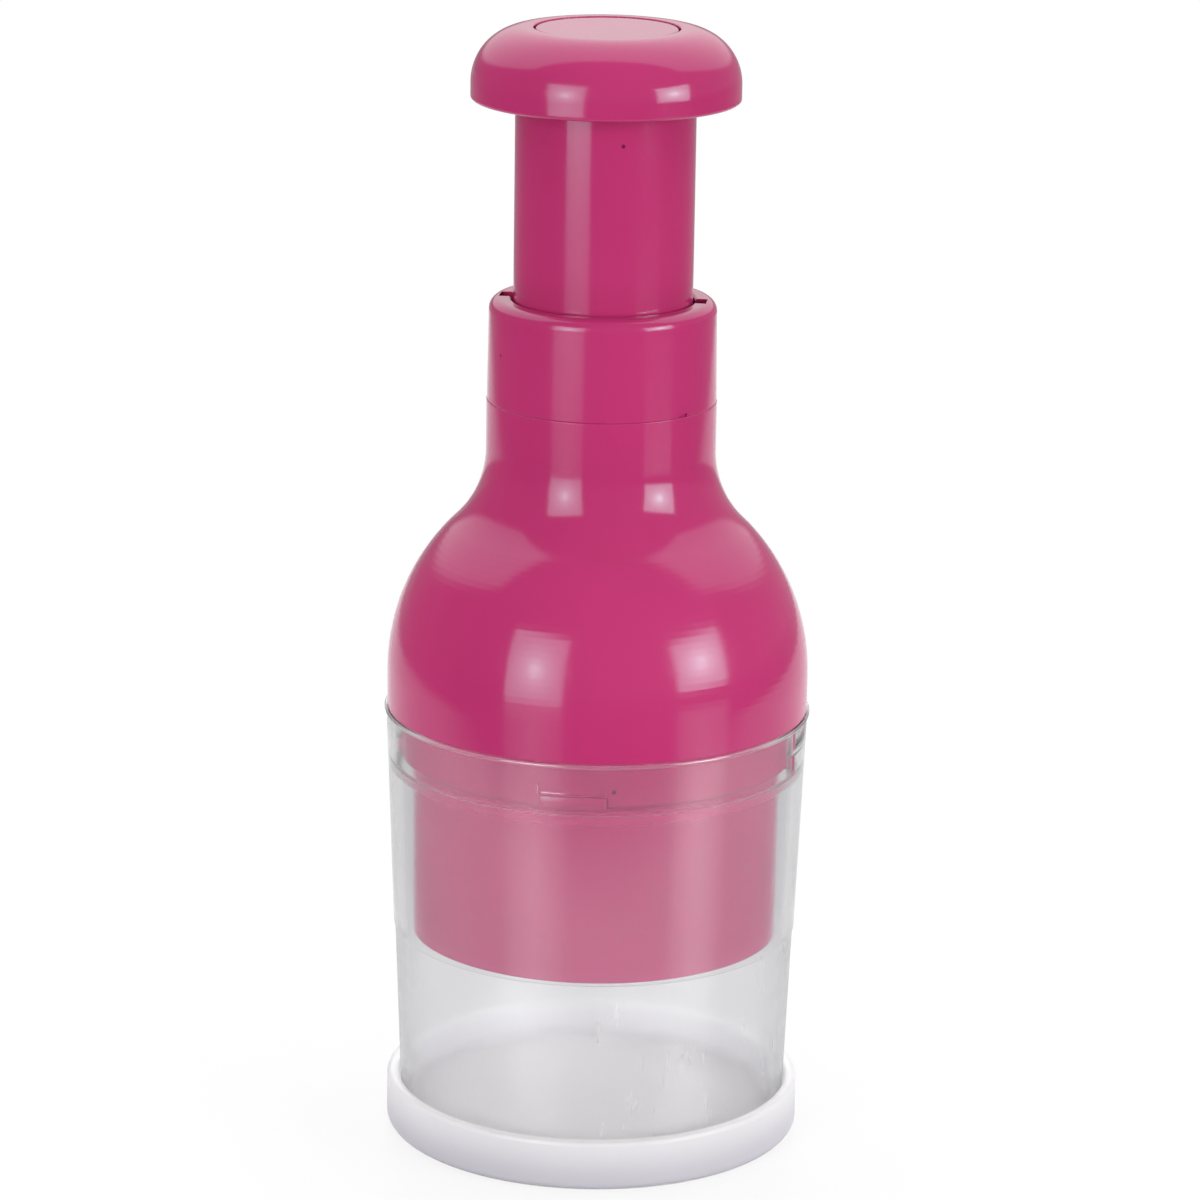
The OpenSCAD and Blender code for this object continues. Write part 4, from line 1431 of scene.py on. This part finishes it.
@dataclass
class BladeUnit(SubAssembly):
    """Carrier, ratchet cover and zigzag blade. Sizes in millimetres."""

    edge: float = 46.5
    bottom: float = 66.5
    plate: float = 71.0
    radius: float = 36.8
    rim: float = 76.0
    rim_wall: float = 1.8
    rim_round: float = 0.4
    floor_round: float = 0.6
    hub: Point2 = (11.95, 13.95)
    hub_top: float = 79.5
    boss: float = 5.0
    boss_top: float = 72.0
    bore: float = 1.7
    ribs: int = 6
    rib: float = 1.4
    rib_drop: float = 0.2
    cover: float = 2.0
    cover_bore: float = 3.7
    cover_step: float = 1.0
    cover_gap: float = 0.05
    cover_round: float = 0.6
    screw_bore: float = 3.05
    screw_depth: float = 2.0
    blade: float = 0.6
    bevel: float = 1.4
    seat: float = 2.5
    legs: int = 6
    fold: float = 2.3
    inset: float = 2.4
    spread: float = 0.88
    fold_steps: int = 14
    sharp: float = 20.0

    def build(self) -> None:
        """Builds and places the pieces."""
        self.place(self._carrier(), Body.BLADE_UNIT, Slot.NATURAL, "blade_carrier")
        step, out = self.hub_top - self.cover_step, self.hub[0] - self.cover_gap
        top = self.hub_top + self.cover
        cover = lathe("ratchet_cover", [
            (self.cover_bore, step), (out, step, CRISP), (out, self.hub_top),
            (self.hub[1], self.hub_top), (self.hub[1], top, self.cover_round),
            (self.cover_bore, top, FINE),
        ], segments=96)
        self.place(cover, Body.BLADE_UNIT, Slot.NATURAL, "hub_cover")
        self.place(self._strip(), Body.BLADE_UNIT, Slot.STEEL, "zigzag_blade")

    def _carrier(self) -> Thing:
        """Ribbed plate with the ratchet housing.

        Returns:
            The carrier.
        """
        inside, screw = self.radius - self.rim_wall, self.bottom + self.screw_depth
        hub_in, hub_out = self.hub
        plate = lathe("plate", [
            (self.screw_bore, self.bottom, CRISP), (self.radius, self.bottom, SOFT),
            (self.radius, self.rim, self.rim_round), (inside, self.rim, self.rim_round),
            (inside, self.plate, self.floor_round), (hub_out, self.plate, self.floor_round),
            (hub_out, self.hub_top, CRISP), (hub_in, self.hub_top, CRISP),
            (hub_in, self.plate, FINE), (self.boss, self.plate),
            (self.boss, self.boss_top, CRISP), (self.bore, self.boss_top),
            (self.bore, screw), (self.screw_bore, screw),
        ])
        half = self.rib / 2
        low = (hub_out - SINK, -half, self.plate - SINK)
        rib = block("web", low, (inside + SINK, half, self.rim - self.rib_drop), CRISP)
        ribs = self.growth.around("webs", rib, self.ribs, self.finishes[Slot.NATURAL])
        return joined("carrier_plate", [plate, ribs])

    def _bend(self, index: int) -> Vector:
        """Centre of one bend of the strip.

        Args:
            index: Number of the bend, from 0.

        Returns:
            The centre, in millimetres.
        """
        reach = self.radius - self.inset - self.fold - self.blade
        x = reach * self.spread * (2 * index / self.legs - 1)
        return Vector((x, (-1 if index % 2 == 0 else 1) * math.sqrt(reach**2 - x**2)))

    def _lean(self, index: int) -> float:
        """Direction of one leg of the strip.

        Args:
            index: Number of the bend that it starts from.

        Returns:
            The direction, in radians.
        """
        span = self._bend(index + 1) - self._bend(index)
        lean = math.asin(2 * self.fold / span.length)
        return math.atan2(span.y, span.x) + (lean if index % 2 == 0 else -lean)

    def _on_bend(self, index: int, direction: float) -> Vector:
        """Point of a bend at which the strip runs in a direction."""
        side = direction + (-math.pi / 2 if index % 2 == 0 else math.pi / 2)
        return self._bend(index) + Vector((math.cos(side), math.sin(side))) * self.fold

    def _path(self) -> list[Vector]:
        """Middle line of the strip, bend by bend, in millimetres.

        Returns:
            Its points.
        """
        points = [self._on_bend(0, self._lean(0))]
        for i in range(1, self.legs):
            first, last = self._lean(i - 1), self._lean(i)
            turns = [first + (last - first) * k / self.fold_steps for k in range(self.fold_steps + 1)]
            points += [self._on_bend(i, turn) for turn in turns]
        return points + [self._on_bend(self.legs, self._lean(self.legs - 1))]

    def _strip(self) -> Thing:
        """One folded strip with a ground edge along its bottom.

        Returns:
            The blade.
        """
        half, top, ground = self.blade / 2, self.bottom + self.seat, self.edge + self.bevel
        section = [(0.0, self.edge), (half, ground), (half, top), (-half, top), (-half, ground)]
        path = wire("blade_path", self._path(), False)
        profile = wire("blade_section", section, True)
        values = {"Path": path, "Section": profile, "Finish": self.finishes[Slot.STEEL]}
        strip = grown("zigzag_strip", self.growth.strip, values)
        if max(v.co.z for v in strip.data.vertices) < 0:
            strip.data.transform(Matrix.Scale(-1, 4, (0, 0, 1)))
            strip.data.flip_normals()
        for spare in (path, profile):
            bpy.data.objects.remove(spare)
        return settle(strip, self.sharp)


@dataclass
class InnerWorks(SubAssembly):
    """CAD pieces inside the housing whose shape stays, with their finishes."""

    slots: dict[str, Slot] = field(default_factory=lambda: {
        "guide_sleeve": Slot.NATURAL, "drive_nut": Slot.NATURAL, "nut_screws": Slot.STEEL,
        "knob_screws": Slot.STEEL, "spring_washer": Slot.STEEL, "thrust_washer": Slot.WHITE,
        "twist_spindle": Slot.NATURAL, "spindle_clip": Slot.STEEL, "ratchet_wheel": Slot.NATURAL,
        "pawl_ring": Slot.NATURAL, "carrier_screw": Slot.STEEL,
    })

    def build(self) -> None:
        """Gives each CAD piece that stays its finish."""
        for name, slot in self.slots.items():
            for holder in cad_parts[name].material_slots:
                holder.material = self.finishes[slot]
            log.info("%s dressed as %s", name, slot.value)


# Studio


def grey(level: float) -> Colour:
    """Grey of a level."""
    return (level, level, level)


@dataclass(frozen=True)
class Softbox:
    """One rectangular studio lamp, placed by direction from the chopper."""

    name: str
    azimuth: float
    elevation: float
    distance: float
    width: float
    height: float
    power: float
    edge: float = 0.5
    core: float = 0.6
    core_reach: float = 0.35


@dataclass
class Studio:
    """White floor, surroundings, lamps and the camera at the photograph's viewpoint."""

    camera_turn: float = 6.5
    camera_away: float = 1.009
    camera_height: float = 0.396
    camera_side: float = 0.0003
    pitch: float = 15.395
    roll: float = 0.87
    lens: float = 146.07
    sensor: float = 36.0
    clip: Point2 = (0.05, 50.0)
    aim_height: float = 0.12
    front_level: Point2 = (0.22, 0.38)
    back_level: Point2 = (0.81, 2.16)
    back_heights: Point2 = (-0.2, 1.2)
    back_span: Point2 = (0.08, 0.16)
    sweep_lean: float = 0.52
    sweep_span: Point2 = (0.55, 0.63)
    through_level: float = 0.76
    floor_size: float = 8.0
    floor_dark: Colour = (0.10, 0.10, 0.10)
    floor_pale: Colour = (0.79, 0.79, 0.80)
    table: float = 0.57
    table_fade: float = 0.05
    table_back: float = 0.35
    table_gloss: float = 0.28
    shadow_reach: Point2 = (0.05, 0.34)
    shadow_glow: Point2 = (0.8, 1.0)
    lamps: tuple[Softbox, ...] = (
        Softbox("softbox_left", -34.0, 11.0, 1.1, 0.63, 0.75, 12.2),
        Softbox("softbox_right", 58.5, 11.5, 1.1, 0.60, 0.49, 11.2),
    )

    def build(self) -> None:
        """Builds the whole studio."""
        bpy.context.scene.view_settings.view_transform = "Standard"
        self._floor()
        self._world()
        for lamp in self.lamps:
            self._lamp(lamp)
        self._camera()

    def _toward(self, azimuth: float, elevation: float) -> Vector:
        """Direction from the chopper.

        Args:
            azimuth: Degrees from the camera to its right.
            elevation: Degrees above the table.

        Returns:
            The direction, one metre long.
        """
        turn = math.radians(self.camera_turn + azimuth)
        rise = math.radians(elevation)
        return Vector((math.sin(turn) * math.cos(rise), -math.cos(turn) * math.cos(rise), math.sin(rise)))

    def _floor(self) -> None:
        """Lays the white floor, which looks white to the camera and keeps a soft shadow."""
        half = self.floor_size / 2
        mesh = bpy.data.meshes.new("floor")
        corners = [(-half, -half, 0), (half, -half, 0), (half, half, 0), (-half, half, 0)]
        mesh.from_pydata(corners, [], [(0, 1, 2, 3)])
        made = bpy.data.materials.new("floor_white")
        tree = cleared(made)
        place = tree.add("TexCoord").outputs["Object"]
        away = tree.vector("DISTANCE", place, -self._toward(0, 0) * self.table_back)
        near = tree.fall(away, (self.table - self.table_fade, self.table + self.table_fade))
        colour = tree.blend(near, self.floor_dark, self.floor_pale)
        paint = tree.add("BsdfPrincipled", {"Base Color": colour, "Roughness": self.table_gloss}).outputs[0]
        path = tree.add("LightPath").outputs
        white = tree.blend(path["Is Transmission Ray"], WHITE, grey(self.through_level))
        glow = tree.add("Emission", {"Color": white, "Strength": 1.0}).outputs[0]
        seen = tree.math("MAXIMUM", path["Is Camera Ray"], path["Is Transmission Ray"])
        reach = tree.vector("LENGTH", place)
        share = tree.times(seen, tree.range(reach, self.shadow_reach, self.shadow_glow))
        mixed = tree.add("MixShader", {0: share, 1: paint, 2: glow}).outputs[0]
        tree.add("OutputMaterial", {"Surface": mixed})
        mesh.materials.append(made)
        new_object("floor", mesh)

    def _world(self) -> None:
        """White to the camera, pale grey through the clear wall, a tent with a dark front to the rest."""
        world = bpy.data.worlds.new("white_tent")
        bpy.context.scene.world = world
        tree = cleared(world)
        way = tree.add("TexCoord").outputs["Generated"]
        front = tree.vector("DOT_PRODUCT", way, self._toward(0, 0))
        side = tree.rise(tree.vector("DOT_PRODUCT", way, self._toward(90, 0)), (-1.0, 1.0))
        height = tree.add("SeparateXYZ", {0: way}).outputs["Z"]
        above = tree.rise(tree.minus(height, tree.times(front, self.sweep_lean)), self.sweep_span)
        behind = tree.fall(front, self.back_span)
        cloth = tree.blend(tree.rise(height, self.back_heights), *map(grey, self.back_level))
        dim = tree.blend(side, *map(grey, self.front_level))
        lit = tree.blend(tree.times(above, behind), dim, cloth)
        path = tree.add("LightPath").outputs
        unseen = tree.blend(path["Is Transmission Ray"], lit, grey(self.through_level))
        shown = tree.blend(path["Is Camera Ray"], unseen, WHITE)
        sky = tree.add("Background", {"Color": shown, "Strength": 1.0}).outputs[0]
        tree.add("OutputWorld", {"Surface": sky})

    def _lamp(self, lamp: Softbox) -> None:
        """Hangs one softbox so that it faces the chopper.

        Args:
            lamp: The softbox.
        """
        data = bpy.data.lights.new(lamp.name, "AREA")
        data.shape = "RECTANGLE"
        data.size = lamp.width
        data.size_y = lamp.height
        data.energy = lamp.power
        tree = cleared(data)
        place = tree.add("TexCoord").outputs["Object"]
        across = tree.vector("MULTIPLY", place, (2 / lamp.width, 2 / lamp.height, 0.0))
        reach = tree.vector("LENGTH", across)
        core = tree.range(reach, (0.0, lamp.core_reach), (lamp.core, 0.0))
        level = tree.plus(tree.range(reach, (0.0, 1.0), (1.0, lamp.edge)), core)
        tree.add("OutputLight", {"Surface": tree.add("Emission", {"Strength": level}).outputs[0]})
        made = new_object(lamp.name, data)
        away = self._toward(lamp.azimuth, lamp.elevation)
        made.location = away * lamp.distance + Vector((0, 0, self.aim_height))
        made.rotation_euler = (-away).to_track_quat("-Z", "Y").to_euler()
        log.info("%s at %s", lamp.name, tuple(round(v, 3) for v in made.location))

    def _camera(self) -> None:
        """Sets the camera where the photograph was taken from."""
        turn, pitch, roll = (math.radians(v) for v in (self.camera_turn, self.pitch, self.roll))
        right = Vector((math.cos(turn), math.sin(turn), 0.0))
        level = Vector((-math.sin(turn), math.cos(turn), 0.0))
        forward = level * math.cos(pitch) - Vector((0, 0, math.sin(pitch)))
        upward = right.cross(forward)
        across = right * math.cos(roll) + upward * math.sin(roll)
        upward = upward * math.cos(roll) - right * math.sin(roll)
        data = bpy.data.cameras.new("camera")
        data.sensor_width = self.sensor
        data.lens = self.lens
        data.clip_start, data.clip_end = self.clip
        made = new_object("camera", data)
        place = -level * self.camera_away + right * self.camera_side + Vector((0, 0, self.camera_height))
        turned = Matrix((across, upward, -forward)).transposed().to_4x4()
        made.matrix_world = Matrix.Translation(place) @ turned
        bpy.context.scene.camera = made


def main() -> None:
    """Builds the chopper's looks and the studio."""
    finishes = Finishes(Effects())
    growth = Growth()
    parts: tuple[type[SubAssembly], ...] = (
        BaseLid, ClearContainer, BellHousing, BladeGuard, NeckCollar, Plunger, ReturnSpring, BladeUnit,
        InnerWorks,
    )
    for part in parts:
        part(growth, finishes).build()
    Studio().build()


if __name__ == "__main__":
    main()
